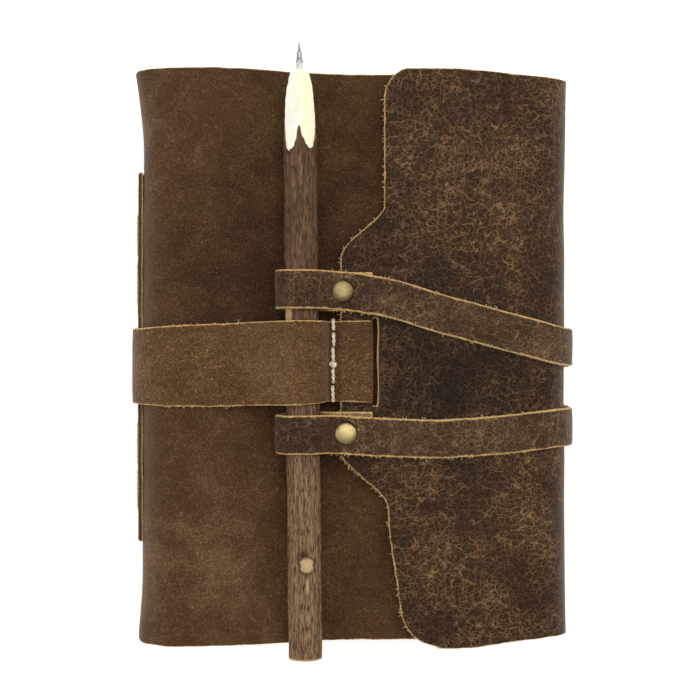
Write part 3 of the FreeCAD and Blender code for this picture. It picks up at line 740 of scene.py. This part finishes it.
def turnedGrid(name, rings, material, data=None):
    # A closed skin over rows of rings (rows x columns x 3, millimetres), its ends closed to their middles.
    rows, columns = rings.shape[:2]
    ends = np.stack([rings[0].mean(0), rings[-1].mean(0)])
    points = np.concatenate([rings.reshape(-1, 3), ends]) * mm
    index = np.arange(rows * columns).reshape(rows, columns)
    beside = np.roll(index, -1, 1)
    quads = np.stack([index[:-1], beside[:-1], beside[1:], index[1:]], -1).reshape(-1, 4).tolist()
    first = [(rows * columns, int(b), int(a)) for a, b in zip(index[0], beside[0])]
    last = [(rows * columns + 1, int(a), int(b)) for a, b in zip(index[-1], beside[-1])]
    mesh = bpy.data.meshes.new(name)
    mesh.from_pydata(points.tolist(), [], quads + first + last)
    for label, values in (data or {}).items():
        flat = values.reshape(rows * columns, -1)
        pointData(mesh, label, np.concatenate([flat, flat[:1], flat[-1:]]))
    allSmooth(mesh)
    mesh.materials.append(material)
    return turnOutwards(addPiece(name, mesh))


def noiseAt(x, y, z, scale, octaves=3):
    shape = np.broadcast(x, y, z).shape
    places = np.stack([np.broadcast_to(part, shape).ravel() for part in (x, y, z)], 1) * scale
    values = [noise.fractal(Vector(place), 0.8, 2.1, octaves) for place in places.tolist()]
    return np.array(values).reshape(shape)


# the twig pen

twig = {"bark": 5.02, "core": 4.72, "roughness": 0.19, "columns": 160, "rows": 480,
        "facets": (50, 130, 203, 270, 337), "knot": {"y": -65.0, "turn": 79, "reach": 2.05, "height": 0.75},
        "woodStart": 50, "woodEnd": 85.3, "barkEnd": 68.0}
# Y along the twig, and how far the carved facets stand from its middle there
facetDepth = ((57, 60, 64, 67.6, 75, 79.8, 83.5, 85.3), (5.6, 5.15, 4.5, 4.02, 3.62, 3.2, 2.6, 2.2))


def twigMiddle(y):  # the twig leans a little
    return pen["x"] + 0.1 + pen["lean"] * y


def facetRadius(turn, y):
    reach = np.interp(y, *facetDepth)
    nearest = np.full(np.broadcast(turn, y).shape, 99.0)
    for k, facet in enumerate(twig["facets"]):
        away = turn - math.radians(facet)
        wander = reach + 0.10 * np.sin(y * 0.55 + k * 2) + 0.05 * np.sin(y * 1.9 + k)
        nearest = np.minimum(nearest, wander / np.maximum(np.cos(away), 0.05))
    return nearest


def ringsOf(turn, y, radius):
    x, z = twigMiddle(y) + radius * np.cos(turn), pen["z"] + radius * np.sin(turn)
    return np.stack([x, y + 0 * radius, z], -1)


def around(count):
    return np.linspace(0, 2 * math.pi, count, endpoint=False)[None, :]


def makeWood(turns):
    y = np.linspace(twig["woodStart"], twig["woodEnd"], 150)[:, None]
    radius = np.minimum(twig["core"], facetRadius(turns, y))
    radius = radius + 0.035 * noiseAt(np.cos(turns) * 3, y * 0.25, np.sin(turns) * 3, 0.8)
    soften = np.clip((twig["woodEnd"] - y) / 0.8, 0, 1)
    radius = radius * (0.82 + 0.18 * np.sqrt(soften))
    # side runs from -1 on the left to 1 on the right, for painted light in the wood's material
    side = np.cos(turns) + 0 * y
    return turnedGrid("carvedTip", ringsOf(turns, y, radius), carvedWood(), {"side": side})


def makeBark(turns):
    # The bark ends raggedly where the facets cut through it.
    bark, knot = twig["bark"], twig["knot"]
    tries = np.linspace(57, 70, 260)[:, None]
    cutThrough = facetRadius(turns, tries) < bark
    ends = np.where(cutThrough.any(0), tries[np.argmax(cutThrough, 0), 0], twig["barkEnd"])
    ragged = 0.5 * waves(turns[0] * 5, 0, 1.3, 2) + 0.35 * waves(turns[0] * 5, 0, 0.5, 5)
    ends = np.minimum(ends, twig["barkEnd"]) + ragged
    share = np.r_[0, 0.0004, 0.0012, np.linspace(0.0025, 0.9985, twig["rows"]), 1.0][:, None]
    y = pen["low"] + (ends[None, :] - pen["low"]) * share
    x, z = np.cos(turns) * bark, np.sin(turns) * bark
    ridges = noiseAt(x, y * 0.11, z, 1.45, 4)
    flakes = noiseAt(x, y * 0.5, z + 9, 2.2, 3)
    swell = noiseAt(x * 0.2, y * 0.05, z * 0.2 + 5, 1.0, 2)
    radius = bark + twig["roughness"] * (ridges * 0.9 + flakes * 0.45) + 0.10 * swell
    # the knot, in a ring-shaped dip
    arc = (turns - math.radians(knot["turn"])) * bark
    away = np.hypot(arc * (1 + 0.15 * np.sin(y * 2)), (y - knot["y"]) * 0.95)
    rise = np.exp(-(away / knot["reach"]) ** 6)
    fromRing = away - knot["reach"] * 1.2
    radius = radius + knot["height"] * rise - 0.30 * np.exp(-(fromRing / 0.35) ** 2)
    radius = np.minimum(radius, bark + 0.22 + 0.7 * rise)
    radius[0] *= 0.90
    radius[1] *= 0.97
    radius[-1] = twig["core"] - 0.15

    def arcFrom(degrees):  # millimetres round the twig from this direction
        return (turns - math.radians(degrees)) * 5

    # where the bark is rubbed off, dark or scratched
    worn = 1.2 * np.exp(-(arcFrom(146) / 1.5) ** 4 - ((y - 11.5) / 3.6) ** 4)
    worn = np.maximum(worn, rise)
    worn = np.maximum(worn, (y < pen["low"] + 0.45) * 0.9)
    dark = 0.9 * np.exp(-(arcFrom(92) / 1.6) ** 2 - ((y - knot["y"] - 3.2) / 1.7) ** 2)
    dark = np.maximum(dark, 0.8 * np.exp(-(fromRing / 0.4) ** 2))
    scratch = np.exp(-(arcFrom(78) / 0.35) ** 2) * smooth(-74.5, -72, y) * smooth(-68.5, -70, y)
    marks = np.stack([np.maximum(worn, scratch * 0.7), dark + 0 * worn, ridges * 0.5 + 0.5], -1)
    skin = np.stack([turns * 5 + 0 * y, y, 0 * y + 0 * turns], -1)
    return turnedGrid("twigBark", ringsOf(turns, y, radius), twigBark(), {"marks": marks, "skin": skin})


# Y and radius along the refill
refill = {"collar": ((84.6, 1.0), (84.9, 1.1), (87.6, 1.12), (87.75, 1.0), (87.8, 0.8)),
          "point": ((87.2, 0.7), (87.7, 1.22), (87.95, 1.25), (88.2, 1.1), (90.4, 0.92), (91.3, 0.62),
                    (91.5, 0.42), (93.4, 0.36), (93.62, 0.30)),
          "ball": ((93.5, 0.1), (93.56, 0.22), (93.7, 0.27), (93.86, 0.24), (93.96, 0.12))}


def makeTwig():
    wide, slim = around(twig["columns"]), around(40)

    def turned(name, stations, material):
        y, radius = (np.array(part)[:, None] + 0 * slim for part in zip(*stations))
        return turnedGrid(name, ringsOf(slim, y, radius), material)

    wood, bark = makeWood(wide), makeBark(wide)
    collar = turned("refillCollar", refill["collar"], refillPlastic())
    steel = tipSteel()
    tip = turned("refillPoint", refill["point"], steel)
    ball = turned("refillBall", refill["ball"], steel)
    for piece, slotName, node in (
            (wood, "carved_wood", "pen_wood"), (bark, "bark", "pen_bark"),
            (collar, "refill_plastic", "refill_tube"), (tip, "refill_steel", "refill_tip"),
            (ball, "refill_steel", "refill_ball")):
        later.append((piece, ("pen",), None, slotName, (node,)))


def carvedWood():
    material, g = newMaterial("carvedWood")
    place = g.node("ShaderNodeTexCoord", {}, (), 3)
    grain = g.noise(g.stretch(place, (1400, 90, 1400)), 1.0, 4.0, 0.6, 0.4)
    side = g.attribute("side", "Fac")
    # painted light by side: the left side whiter and the right side creamier
    base = g.mix(side.ramp(-0.25, 0.4), (1.0, 0.985, 0.84, 1), (1.0, 0.95, 0.66, 1))
    base = g.mix(grain.ramp(0.5, 0.75) * 0.35, base, (0.72, 0.55, 0.30, 1))
    dots = g.cells(g.stretch(place, (300, 160, 300)), 1.0, "F1").ramp(0.05, 0.12, 1.0, 0.0)
    base = g.mix(dots * 0.5, base, (0.25, 0.14, 0.06, 1))
    finishMaterial(g, base, 0.62 - grain * 0.1, grain, 0.08 * mm, Specular_IOR_Level=0.25)
    return material


def twigBark():
    material, g = newMaterial("twigBark")
    skin = g.attribute("skin", "Vector")
    marks = g.attribute("marks", "Vector")
    worn, dark, ridge = g.split(marks)
    along = g.split(skin)[1]
    fissures = g.noise(g.stretch(skin, (3.4, 0.34, 1)), 1.0, 4.0, 0.65, 0.4)
    flakes = g.noise(g.stretch(skin, (5.5, 2.2, 1)), 1.0, 3.0, 0.7)
    streaks = g.noise(g.stretch(skin, (1.1, 0.06, 1)), 1.0, 3.0, 0.6)
    low = along.ramp(20, -60)
    base = g.mix(low, (0.100, 0.052, 0.030, 1), (0.120, 0.066, 0.031, 1))
    light = g.mix(low, (0.235, 0.138, 0.074, 1), (0.345, 0.208, 0.108, 1))
    amount = (ridge * 0.55 + (fissures - 0.5) * 1.5 + (streaks - 0.5) * 0.8 + (flakes - 0.5) * 0.8
              + low * 0.12 + 0.16)
    base = g.mix(amount.ramp(0.30, 0.88), base, light)
    base = g.mix(fissures.ramp(0.48, 0.36) * 0.95, base, (0.024, 0.011, 0.007, 1))
    base = g.mix(dark, base, (0.028, 0.014, 0.008, 1))
    tan = g.mix(flakes.ramp(0.35, 0.65), (0.42, 0.25, 0.11, 1), (0.70, 0.50, 0.27, 1))
    base = g.mix((worn * (0.9 + flakes * 0.9)).clip(), base, tan)
    finishMaterial(g, base, 0.86, fissures * 0.8 + flakes * 0.5, 0.35 * mm, Specular_IOR_Level=0.15)
    return material


def plainNoise(name, colour, second, scale, roughness, **constants):
    material, g = newMaterial(name)
    place = g.node("ShaderNodeTexCoord", {}, (), 3)
    grain = g.noise(place, scale, 4.0, 0.6)
    base = g.mix(grain.ramp(0.3, 0.7), (*colour, 1), (*second, 1))
    finishMaterial(g, base, roughness + (grain - 0.5) * 0.2, grain, 0.03 * mm, **constants)
    return material


def refillPlastic():
    return plainNoise("refillPlastic", (0.55, 0.55, 0.53), (0.70, 0.70, 0.68), 900, 0.35)


def tipSteel():
    return plainNoise("tipSteel", (0.42, 0.42, 0.43), (0.60, 0.60, 0.61), 1500, 0.28, Metallic=1.0)


# rivets

rivetShape = {"cap": 3.42, "rim": 3.8, "dome": 1.05, "level": 34.97,
              "upper": {"place": (-3.3, 17.9), "tone": 0.58},
              "lower": {"place": (-2.2, -25.4), "tone": 0.80}}


def antiqueBrass():
    material, g = newMaterial("antiqueBrass")
    place = g.node("ShaderNodeTexCoord", {}, (), 3)
    tone = g.attribute("tone", "Fac")
    patina = g.noise(place, 900, 5.0, 0.7, 0.3)
    scratches = g.noise(g.stretch(place, (9000, 900, 900), (0, 0, 0.6)), 1.0, 2.0, 0.6)
    level = (tone + (patina - 0.5) * 0.40 + (scratches - 0.5) * 0.25).clip()
    # tone is painted shading: 0 is the painted shadow round the cap, 1 the painted highlight on the dome,
    # each rivet's own tone scaling it; patina and scratches vary it
    base = g.mix(level.ramp(0.0, 0.35), (0.018, 0.011, 0.006, 1), (0.13, 0.090, 0.034, 1))
    base = g.mix(level.ramp(0.35, 0.95), base, (0.52, 0.40, 0.185, 1))
    finishMaterial(g, base, 0.42 - level * 0.14, patina * 0.3 + scratches * 0.3, 0.02 * mm, Metallic=0.9)
    return material


def makeRivets():
    brass = antiqueBrass()
    cap, rim, dome, level = (rivetShape[part] for part in ("cap", "rim", "dome", "level"))
    # radius, height and painted shading up the side and over the dome: a painted shadow on the flat ring
    # round the cap, and a painted highlight growing towards the dome's top
    profile = [(rim, -0.5, 0.0), (rim, 0.0, 0.0), (rim - 0.12, 0.10, 0.0), (cap + 0.12, 0.10, 0.0),
               (cap + 0.02, 0.12, 0.0), (cap, 0.30, 0.35)]
    for k in range(1, 13):
        a = k / 13 * math.pi / 2
        profile.append((cap * math.cos(a) ** 0.8, 0.30 + (dome - 0.30) * math.sin(a) ** 0.9,
                        0.45 + 0.55 * math.sin(a)))
    radius, height, paintedShading = np.array(profile).T
    turns = around(64)
    for side in tieRoutes:
        own = rivetShape[side]
        x, y = own["place"]
        rings = np.stack([x + radius[:, None] * np.cos(turns), y + radius[:, None] * np.sin(turns),
                          level + height[:, None] + 0 * turns], -1)
        tone = paintedShading[:, None] * own["tone"] + 0 * turns
        made = turnedGrid(side + "RivetCap", rings, brass, {"tone": tone})
        later.append((made, (side + "_tie",), None, "antique_brass", (side + "_rivet_cap",)))
        base = bpy.data.objects[side + "_rivet_base"]
        base.data.materials.clear()
        base.data.materials.append(brass)


# threads: guides swept by geometry nodes

patch = {"top": 22.6, "low": 3.9, "y": (-59.65, 55.35), "leather": 1.4, "inset": 1.2}
patchSpots = ((-66, 0, 40, 0.1),)
threadLook = {"strand": 0.31, "twist": 3.4, "spread": 0.27, "sides": 10,
              "spineStrand": 0.2, "spineSpread": 0.16}
seam = {"x": -6.1, "level": 31.0, "knot": -4.5}
binding = {"rows": 6, "low": 5.6, "pitch": 2.75, "runs": ((14, 42), (-22, -50)), "gap": 1.2}


def waxedThread():
    material, g = newMaterial("waxedThread")
    place = g.node("ShaderNodeTexCoord", {}, (), 3)
    fibre = g.noise(g.stretch(place, (2600, 900, 2600)), 1.0, 4.0, 0.7)
    base = g.mix(fibre.ramp(0.3, 0.7), (0.66, 0.52, 0.34, 1), (0.95, 0.86, 0.68, 1))
    finishMaterial(g, base, 0.60, fibre, 0.06 * mm, Specular_IOR_Level=0.3)
    return material


def nodeTree(name, inputs):
    # A geometry tree with named inputs. inputs is (name, socket type) pairs after the geometry.
    tree = bpy.data.node_groups.new(name, "GeometryNodeTree")
    tree.interface.new_socket("Geometry", in_out="INPUT", socket_type="NodeSocketGeometry")
    for label, kind in inputs:
        tree.interface.new_socket(label, in_out="INPUT", socket_type=kind)
    tree.interface.new_socket("Geometry", in_out="OUTPUT", socket_type="NodeSocketGeometry")
    g = Graph(tree)
    source = tree.nodes.new("NodeGroupInput")
    sockets = {item.name: Sock(g, item) for item in source.outputs if item.name}
    return tree, g, sockets


def finishTree(g, geometry, material):
    whole = g.node("GeometryNodeRealizeInstances", {}, [geometry])
    painted = g.node("GeometryNodeSetMaterial", {}, {"Geometry": whole, "Material": material})
    end = g.tree.nodes.new("NodeGroupOutput")
    g.tree.links.new(painted.link, end.inputs[0])


def sweepTree():
    tree, g, given = nodeTree("sweptThread", (("Radius", "NodeSocketFloat"), ("Sides", "NodeSocketInt"),
                                              ("Material", "NodeSocketMaterial")))
    curve = g.node("GeometryNodeMeshToCurve", {}, [given["Geometry"]])
    ring = g.node("GeometryNodeCurvePrimitiveCircle", {}, {"Resolution": given["Sides"],
                                                           "Radius": given["Radius"]})
    swept = g.node("GeometryNodeCurveToMesh", {}, {"Curve": curve, "Profile Curve": ring,
                                                   "Fill Caps": True})
    smoothed = g.node("GeometryNodeSetShadeSmooth", {}, {"Geometry": swept, "Shade Smooth": True})
    finishTree(g, smoothed, given["Material"])
    return tree


def fibreTree():
    # Short loose fibres leaning out along a raw cut.
    tree, g, given = nodeTree("looseFibres", (
        ("Gap", "NodeSocketFloat"), ("Length", "NodeSocketFloat"), ("Seed", "NodeSocketInt"),
        ("Material", "NodeSocketMaterial")))
    curve = g.node("GeometryNodeMeshToCurve", {}, [given["Geometry"]])
    points = g.node("GeometryNodeCurveToPoints", {"mode": "LENGTH"},
                    {"Curve": curve, "Length": given["Gap"]})
    hair = g.node("GeometryNodeCurvePrimitiveBezierSegment", {}, {
        "Resolution": 5, "Start": (0, 0, -0.0002), "Start Handle": (0, 0, 0.0003),
        "End Handle": (0.0003, 0, 0.0006), "End": (0.0006, 0.0002, 0.0008)})
    ring = g.node("GeometryNodeCurvePrimitiveCircle", {}, {"Resolution": 4, "Radius": 0.00008})
    strand = g.node("GeometryNodeCurveToMesh", {}, {"Curve": hair, "Profile Curve": ring,
                                                    "Fill Caps": True})
    turn = g.node("FunctionNodeRandomValue", {"data_type": "FLOAT_VECTOR"},
                  {0: (-1.4, -1.4, -3.1), 1: (1.4, 1.4, 3.1), "Seed": given["Seed"]})
    grow = g.node("FunctionNodeRandomValue", {"data_type": "FLOAT"},
                  {2: 0.25, 3: given["Length"], "Seed": given["Seed"]}, 1)
    keep = g.node("FunctionNodeRandomValue", {"data_type": "BOOLEAN"},
                  {"Probability": 0.6, "Seed": given["Seed"]}, 3)
    placed = g.node("GeometryNodeInstanceOnPoints", {}, {
        "Points": points, "Instance": strand, "Selection": keep, "Rotation": turn, "Scale": grow})
    finishTree(g, placed, given["Material"])
    return tree


def guides(name, lines):
    # One mesh of open lines, each an array of points in millimetres.
    points, edges = [], []
    for line in lines:
        edges += [(len(points) + k, len(points) + k + 1) for k in range(len(line) - 1)]
        points += (np.asarray(line) * mm).tolist()
    mesh = bpy.data.meshes.new(name)
    mesh.from_pydata(points, edges, [])
    return addPiece(name, mesh)


def grown(piece, tree, **values):
    # Runs a geometry tree on a piece and keeps its result as a plain mesh.
    modifier = piece.modifiers.new("grown", "NODES")
    modifier.node_group = tree
    for item in tree.interface.items_tree:
        if item.in_out == "INPUT" and item.name in values:
            modifier[item.identifier] = values[item.name]
    return bakeModifiers(piece)


def twisted(line, spread):
    # Two strands twisted round a line.
    line = np.asarray(line, float)
    along = np.r_[0, np.cumsum(np.linalg.norm(np.diff(line, axis=0), axis=1))]
    even = np.linspace(0, along[-1], max(8, int(along[-1] / 0.16)))
    middle = np.stack([np.interp(even, along, line[:, k]) for k in range(3)], 1)
    ahead = np.gradient(middle, axis=0)
    ahead /= np.linalg.norm(ahead, axis=1)[:, None]
    side = np.cross(ahead, np.where(np.abs(ahead[:, 2:3]) > 0.9, [[1.0, 0, 0]], [[0, 0, 1.0]]))
    side /= np.linalg.norm(side, axis=1)[:, None]
    up = np.cross(side, ahead)
    turn = even / threadLook["twist"] * 2 * math.pi
    for phase in (0, math.pi):
        yield middle + spread * (side * np.cos(turn + phase)[:, None] + up * np.sin(turn + phase)[:, None])


def stitch(start, end, out, rise, sink=1.0):
    # A stitch lying on a surface between two holes; out is the surface's outward direction.
    start, end, out = (np.asarray(part, float) for part in (start, end, out))
    share = np.array([0, 0, 0.06, 0.2, 0.5, 0.8, 0.94, 1, 1])
    height = np.array([-sink, -0.2, 0.16, rise, rise + 0.06, rise, 0.16, -0.2, -sink])
    return start + (end - start) * share[:, None] + out * height[:, None]


def strapSeam():
    # The row of stitches beside the pen, and the knot in it.
    x, level, knot = seam["x"], seam["level"], seam["knot"]
    for high, low, shift in strapStitches:
        start, end = (x - 0.05 + shift, high, level), (x + 0.15 + shift * 0.6, low, level)
        yield stitch(start, end, (0, 0, 1), 0.42)
    a = np.linspace(0, 2.2 * math.pi, 40)
    height = level + 0.45 + 0.25 * np.sin(a * 1.5)
    yield np.stack([x + 0.75 * np.cos(a), knot + 0.5 * np.sin(a), height], 1)
    yield [(x + 0.9, knot + 0.2, level + 0.5), (x, knot - 0.1, level + 0.9),
           (x - 1.0, knot + 0.1, level + 0.3)]


def spineSeam():
    # Two rows of long stitches for each section, above and below the strap.
    for k in range(binding["rows"]):
        onSpine = findAlong(hidePath, hide["spine"], binding["low"] + binding["pitch"] * k)
        x, z, nx, nz = onPath(hidePath, onSpine)
        out = np.array([nx, 0, nz])
        place = np.array([x, 0, z]) + out * (patch["leather"] + 0.1)
        for near, far in binding["runs"]:
            near, far = near + 0.4 * math.sin(k * 2.1), far + 0.5 * math.sin(k * 1.3 + near)
            middle = (near + far) / 2
            for low, high in ((near, middle), (middle + binding["gap"] * np.sign(far), far)):
                yield stitch(place + (0, low, 0), place + (0, high, 0), out, 0.16)


def makeThreads():
    thread, sweep = waxedThread(), sweepTree()
    for name, lines, size, body, node in (
            ("strapThread", strapSeam(), ("spread", "strand"), "flap", "strap_stitches"),
            ("spineThread", spineSeam(), ("spineSpread", "spineStrand"), "book", "binding_thread")):
        spread, radius = (threadLook[part] for part in size)
        strands = [part for line in lines for part in twisted(line, spread)]
        sewn = grown(guides(name, strands), sweep, Radius=radius * mm, Sides=threadLook["sides"],
                     Material=thread)
        later.append((sewn, (body,), None, "waxed_thread", (node,)))


# sections of leaves

leafStack = {"sections": 6, "low": 4.3, "pitch": 3.34, "half": 1.65, "sheets": 5, "thick": 0.27,
             "between": 0.326, "wide": 124, "edge": 60.3, "yLow": -88.0, "yHigh": 83.7, "fold": 118}


def leafPaper():
    material, g = newMaterial("leafPaper")
    place = g.node("ShaderNodeTexCoord", {}, (), 3)
    fibres = g.noise(place, 900, 5.0, 0.7)
    cloud = g.noise(place, 60, 3.0, 0.6)
    base = g.mix(cloud.ramp(0.3, 0.7), (0.74, 0.66, 0.50, 1), (0.83, 0.76, 0.61, 1))
    base = g.mix(fibres.ramp(0.58, 0.70) * 0.4, base, (0.52, 0.42, 0.27, 1))
    finishMaterial(g, base, 0.92, fibres, 0.06 * mm, Specular_IOR_Level=0.15)
    return material


def foldedSheet(section, sheet, y, paper):
    # One folded sheet's mesh, its sheet number counted from the middle of its section, its edges uneven.
    h = 0.17 + leafStack["between"] * sheet
    inset = 1.64 - h
    fold = inset - leafStack["wide"]
    path = roundedPath([(0, h, 0), (fold, h, h * 0.98), (fold, -h, h * 0.98), (0, -h, 0)], 0.12)
    length = path["length"]
    flat = leafStack["fold"]
    even = np.r_[np.linspace(0, flat, 26), np.linspace(flat + 2, length - flat - 2, 26),
                 np.linspace(length - flat, length, 26)]
    x, z, nx, nz = onPath(path, even)
    seed = section * 9 + sheet
    uneven = 0.5 * math.sin(seed * 1.9)
    rough = 0.22 * waves(y * 170, 0, 11, seed) + 0.1 * waves(y * 170, 0, 3, seed + 2)
    share = np.clip((x + leafStack["wide"]) / leafStack["wide"], 0, 1)
    px = leafStack["edge"] + x[:, None] + (uneven + rough)[None, :] * share[:, None] - inset
    high = leafStack["yHigh"] + 0.35 * math.sin(seed * 2.3) + 0.15 * waves(x, 0, 14, seed)
    low = leafStack["yLow"] - 0.35 * math.sin(seed * 3.1) + 0.15 * waves(x, 0, 14, seed + 4)
    py = low[:, None] + (high - low)[:, None] * y[None, :]
    middle = leafStack["low"] + leafStack["pitch"] * section + leafStack["half"]
    outer = np.stack([px, py, middle + z[:, None] + 0 * px], -1)
    normal = np.stack([nx[:, None] + 0 * px, 0 * px, nz[:, None] + 0 * px], -1)
    edge = np.full(px.shape, 9.0)
    skin = np.stack([px, py], -1)
    return thickSheet("leafPart", outer, normal, leafStack["thick"], skin, edge, edge, paper).data


def makeLeaves():
    # Each section is folded sheets, one inside the next.
    paper = leafPaper()
    y = np.r_[0, 0.2, np.linspace(2, 98, 22), 99.8, 100] / 100
    for section in range(leafStack["sections"]):
        whole = bmesh.new()
        for sheet in range(leafStack["sheets"]):
            part = foldedSheet(section, sheet, y, paper)
            whole.from_mesh(part)
            bpy.data.meshes.remove(part)
        mesh = bpy.data.meshes.new("leaves")
        whole.to_mesh(mesh)
        whole.free()
        mesh.materials.append(paper)
        piece = addPiece(f"leaves{section + 1}", mesh)
        later.append((piece, ("book",), None, "leaves", (f"section_{section + 1}",)))


# spine patch and loose fibres

def makePatch():
    top = findAlong(hidePath, hide["spine"] + 1.1, patch["top"])
    low = findAlong(hidePath, hide["spine"], patch["low"])
    dense = np.linspace(top, low, 60)
    x, z, nx, nz = onPath(hidePath, dense)
    shift = patch["leather"] / 2 + 0.12
    line = np.stack([x + nx * shift, 0 * x, z + nz * shift], 1)
    made = bandSheet("spinePatch", line, patch["y"], (True, True, True, True), leathers["cover"],
                     lambda x, y, run: spots(patchSpots, x, y, 0.5), (400, 0), patch["leather"])
    raw = made.data.attributes["edge"].data
    for value in raw[:len(raw) // 2]:  # the grain side keeps its colour right up to the cut
        value.value += patch["inset"]
    later.append((made, ("book",), None, "patch_leather", ("spine_patch",)))


# for each raw cut: the gap between fibres and their length in millimetres, and the seed
fibres = {"flap": (0.20, 1.3, 3), "upper": (0.17, 1.15, 7), "lower": (0.17, 1.15, 8),
          "strap": (0.3, 0.9, 12)}


def growFibres(name, lines, look, body, slotName):
    gap, length, seed = fibres[look]
    made = grown(guides(name, lines), fibreGrowth, Gap=gap * mm, Length=length, Seed=seed,
                 Material=rawFibre)
    later.append((made, (body,), None, slotName, ()))


def makeFibres():
    y = np.linspace(hide["middle"] - hide["half"] + 1.5, hide["middle"] + hide["half"] - 1.5, 260)
    x, z, nx, nz = onPath(hidePath, flapEnd(y))
    growFibres("flapFibres", [np.stack([x + 0.15, y, z - 0.9], 1)], "flap", "flap", "cover_leather")
    x = np.linspace(54, -7.5, 150)
    level = tieShape["level"] + 0.3 + 1.9 * smooth(12, 6, x)
    for side, route in tieRoutes.items():
        middle, half = tieMiddle(route, x), strap["tieWidth"] / 2 - 0.1
        lines = [np.stack([x, middle + way * half, level], 1) for way in (-1, 1)]
        growFibres(side + "TieFibres", lines, side, side + "_tie", "strap_leather")
    x = np.linspace(-60, -34, 60)
    lines = [np.stack([x, np.interp(x, strapLine["x"], strapLine[edge]), 0 * x + strap["level"] + 0.3], 1)
             for edge in ("low", "high")]
    growFibres("strapFibres", lines, "strap", "flap", "strap_leather")


later = []
makeTwig()
makeRivets()
makeThreads()
makeLeaves()
makePatch()
rawFibre = plainNoise("rawFibre", (0.62, 0.42, 0.18), (0.86, 0.66, 0.36), 3000, 0.9)
fibreGrowth = fibreTree()
makeFibres()
print("pen, rivets, threads, leaves, patch and fibres made")


# riding and standing in for the CAD

def settle(piece, bodies, places, slotName, *nodes):
    # Rides a piece on its body, or with two bodies only bakes its transform, and hides the CAD nodes that
    # it stands for.
    if len(bodies) == 1:
        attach(piece, bodies[0])
    else:
        start, end = ((x * mm, 0, z * mm) for x, z in places)
        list(bodies)
        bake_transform(piece)
        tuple(start)
        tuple(end)
    if nodes:
        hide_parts(*nodes)


# for each piece that spans two bodies: its two bodies, the bend's start and end in side view, its slot and
# its CAD nodes
backEdge, flapEdge = ((58.5, 1), (67.95, 11)), ((67.95, 18), (55, 32))
bends = {
    "hideFront": (("front_fold", "front"), ((-56, 31), (-47, 31)), "cover_leather", "front_cover"),
    "hideBend": (("book", "front_fold"), ((-66, 20), (-57, 31)), "cover_leather", "front_fold",
                 "spine_cover"),
    "hideBack": (("book", "fore_edge"), ((59, 0), (66.3, 8)), "cover_leather", "back_cover",
                 "fore_edge_wall"),
    "hideFlap": (("fore_edge", "flap"), ((66.3, 19), (55, 31.1)), "cover_leather", "flap"),
    "strapFront": (("flap", "strap_spine"), ((-56, 32), (-68.3, 18)), "strap_leather", "strap_front"),
    "strapRound": (("strap_spine", "strap_back"), ((-68.3, 11), (-58, 1)), "strap_leather", "strap_spine"),
    "upperFork": (("strap_back", "strap_edge"), backEdge, "strap_leather", "strap_back",
                  "strap_upper_edge"),
    "lowerFork": (("strap_back", "strap_edge"), backEdge, "strap_leather", "strap_lower_edge"),
    "upperTie": (("strap_edge", "upper_tie"), flapEdge, "strap_leather", "upper_tie"),
    "lowerTie": (("strap_edge", "lower_tie"), flapEdge, "strap_leather", "lower_tie"),
}
for name, (bodies, places, slotName, *stands) in bends.items():
    settle(bpy.data.objects[name], bodies, places, slotName, *stands)
for piece, bodies, places, slotName, stands in later:
    settle(piece, bodies, places, slotName, *stands)


# the stage

stage = {"floor": 3.0, "drop": 0.2, "floorColour": (0.90, 0.90, 0.90, 1), "glow": 0.42, "world": 0.44}
panels = {"skyPanel": ((0.1, 0.35, 1.1), 1.0, 7.0), "sidePanel": ((-0.9, -0.1, 0.8), 0.7, 3.0),
          "farPanel": ((0.8, 0.3, 0.7), 0.7, 2.7)}  # place and width in metres, and watts
camera = {"place": (-0.9, 0.0, 483.0), "lens": 75.8, "sensor": 36.0}


def makeFloor():
    material, g = newMaterial("floorPaper")
    shader = g.node("ShaderNodeBsdfPrincipled", {}, {
        "Base Color": stage["floorColour"], "Roughness": 0.9, "Emission Color": (1, 1, 1, 1),
        "Emission Strength": stage["glow"]})
    g.node("ShaderNodeOutputMaterial", {}, {"Surface": shader})
    half = stage["floor"] / 2
    corners = [(x * half, y * half, -stage["drop"] * mm) for x, y in ((-1, -1), (1, -1), (1, 1), (-1, 1))]
    mesh = bpy.data.meshes.new("floor")
    mesh.from_pydata(corners, [], [(0, 1, 2, 3)])
    mesh.materials.append(material)
    addPiece("floor", mesh)


def makeLights():
    world = bpy.data.worlds.new("studio")
    scene.world = world
    world.use_nodes = True
    background = world.node_tree.nodes["Background"]
    background.inputs["Color"].default_value = (1, 1, 1, 1)
    background.inputs["Strength"].default_value = stage["world"]
    for name, (place, width, watts) in panels.items():
        light = bpy.data.lights.new(name, "AREA")
        light.size, light.energy = width, watts
        lamp = addPiece(name, light)
        lamp.location = place
        lamp.rotation_euler = (-Vector(place)).to_track_quat("-Z", "Y").to_euler()


def makeCamera():
    lens = bpy.data.cameras.new("camera")
    lens.lens, lens.sensor_width = camera["lens"], camera["sensor"]
    lens.clip_start, lens.clip_end = 0.01, 10
    eye = addPiece("camera", lens)
    eye.location = [part * mm for part in camera["place"]]
    scene.camera = eye


makeFloor()
makeLights()
makeCamera()
print("stage made")
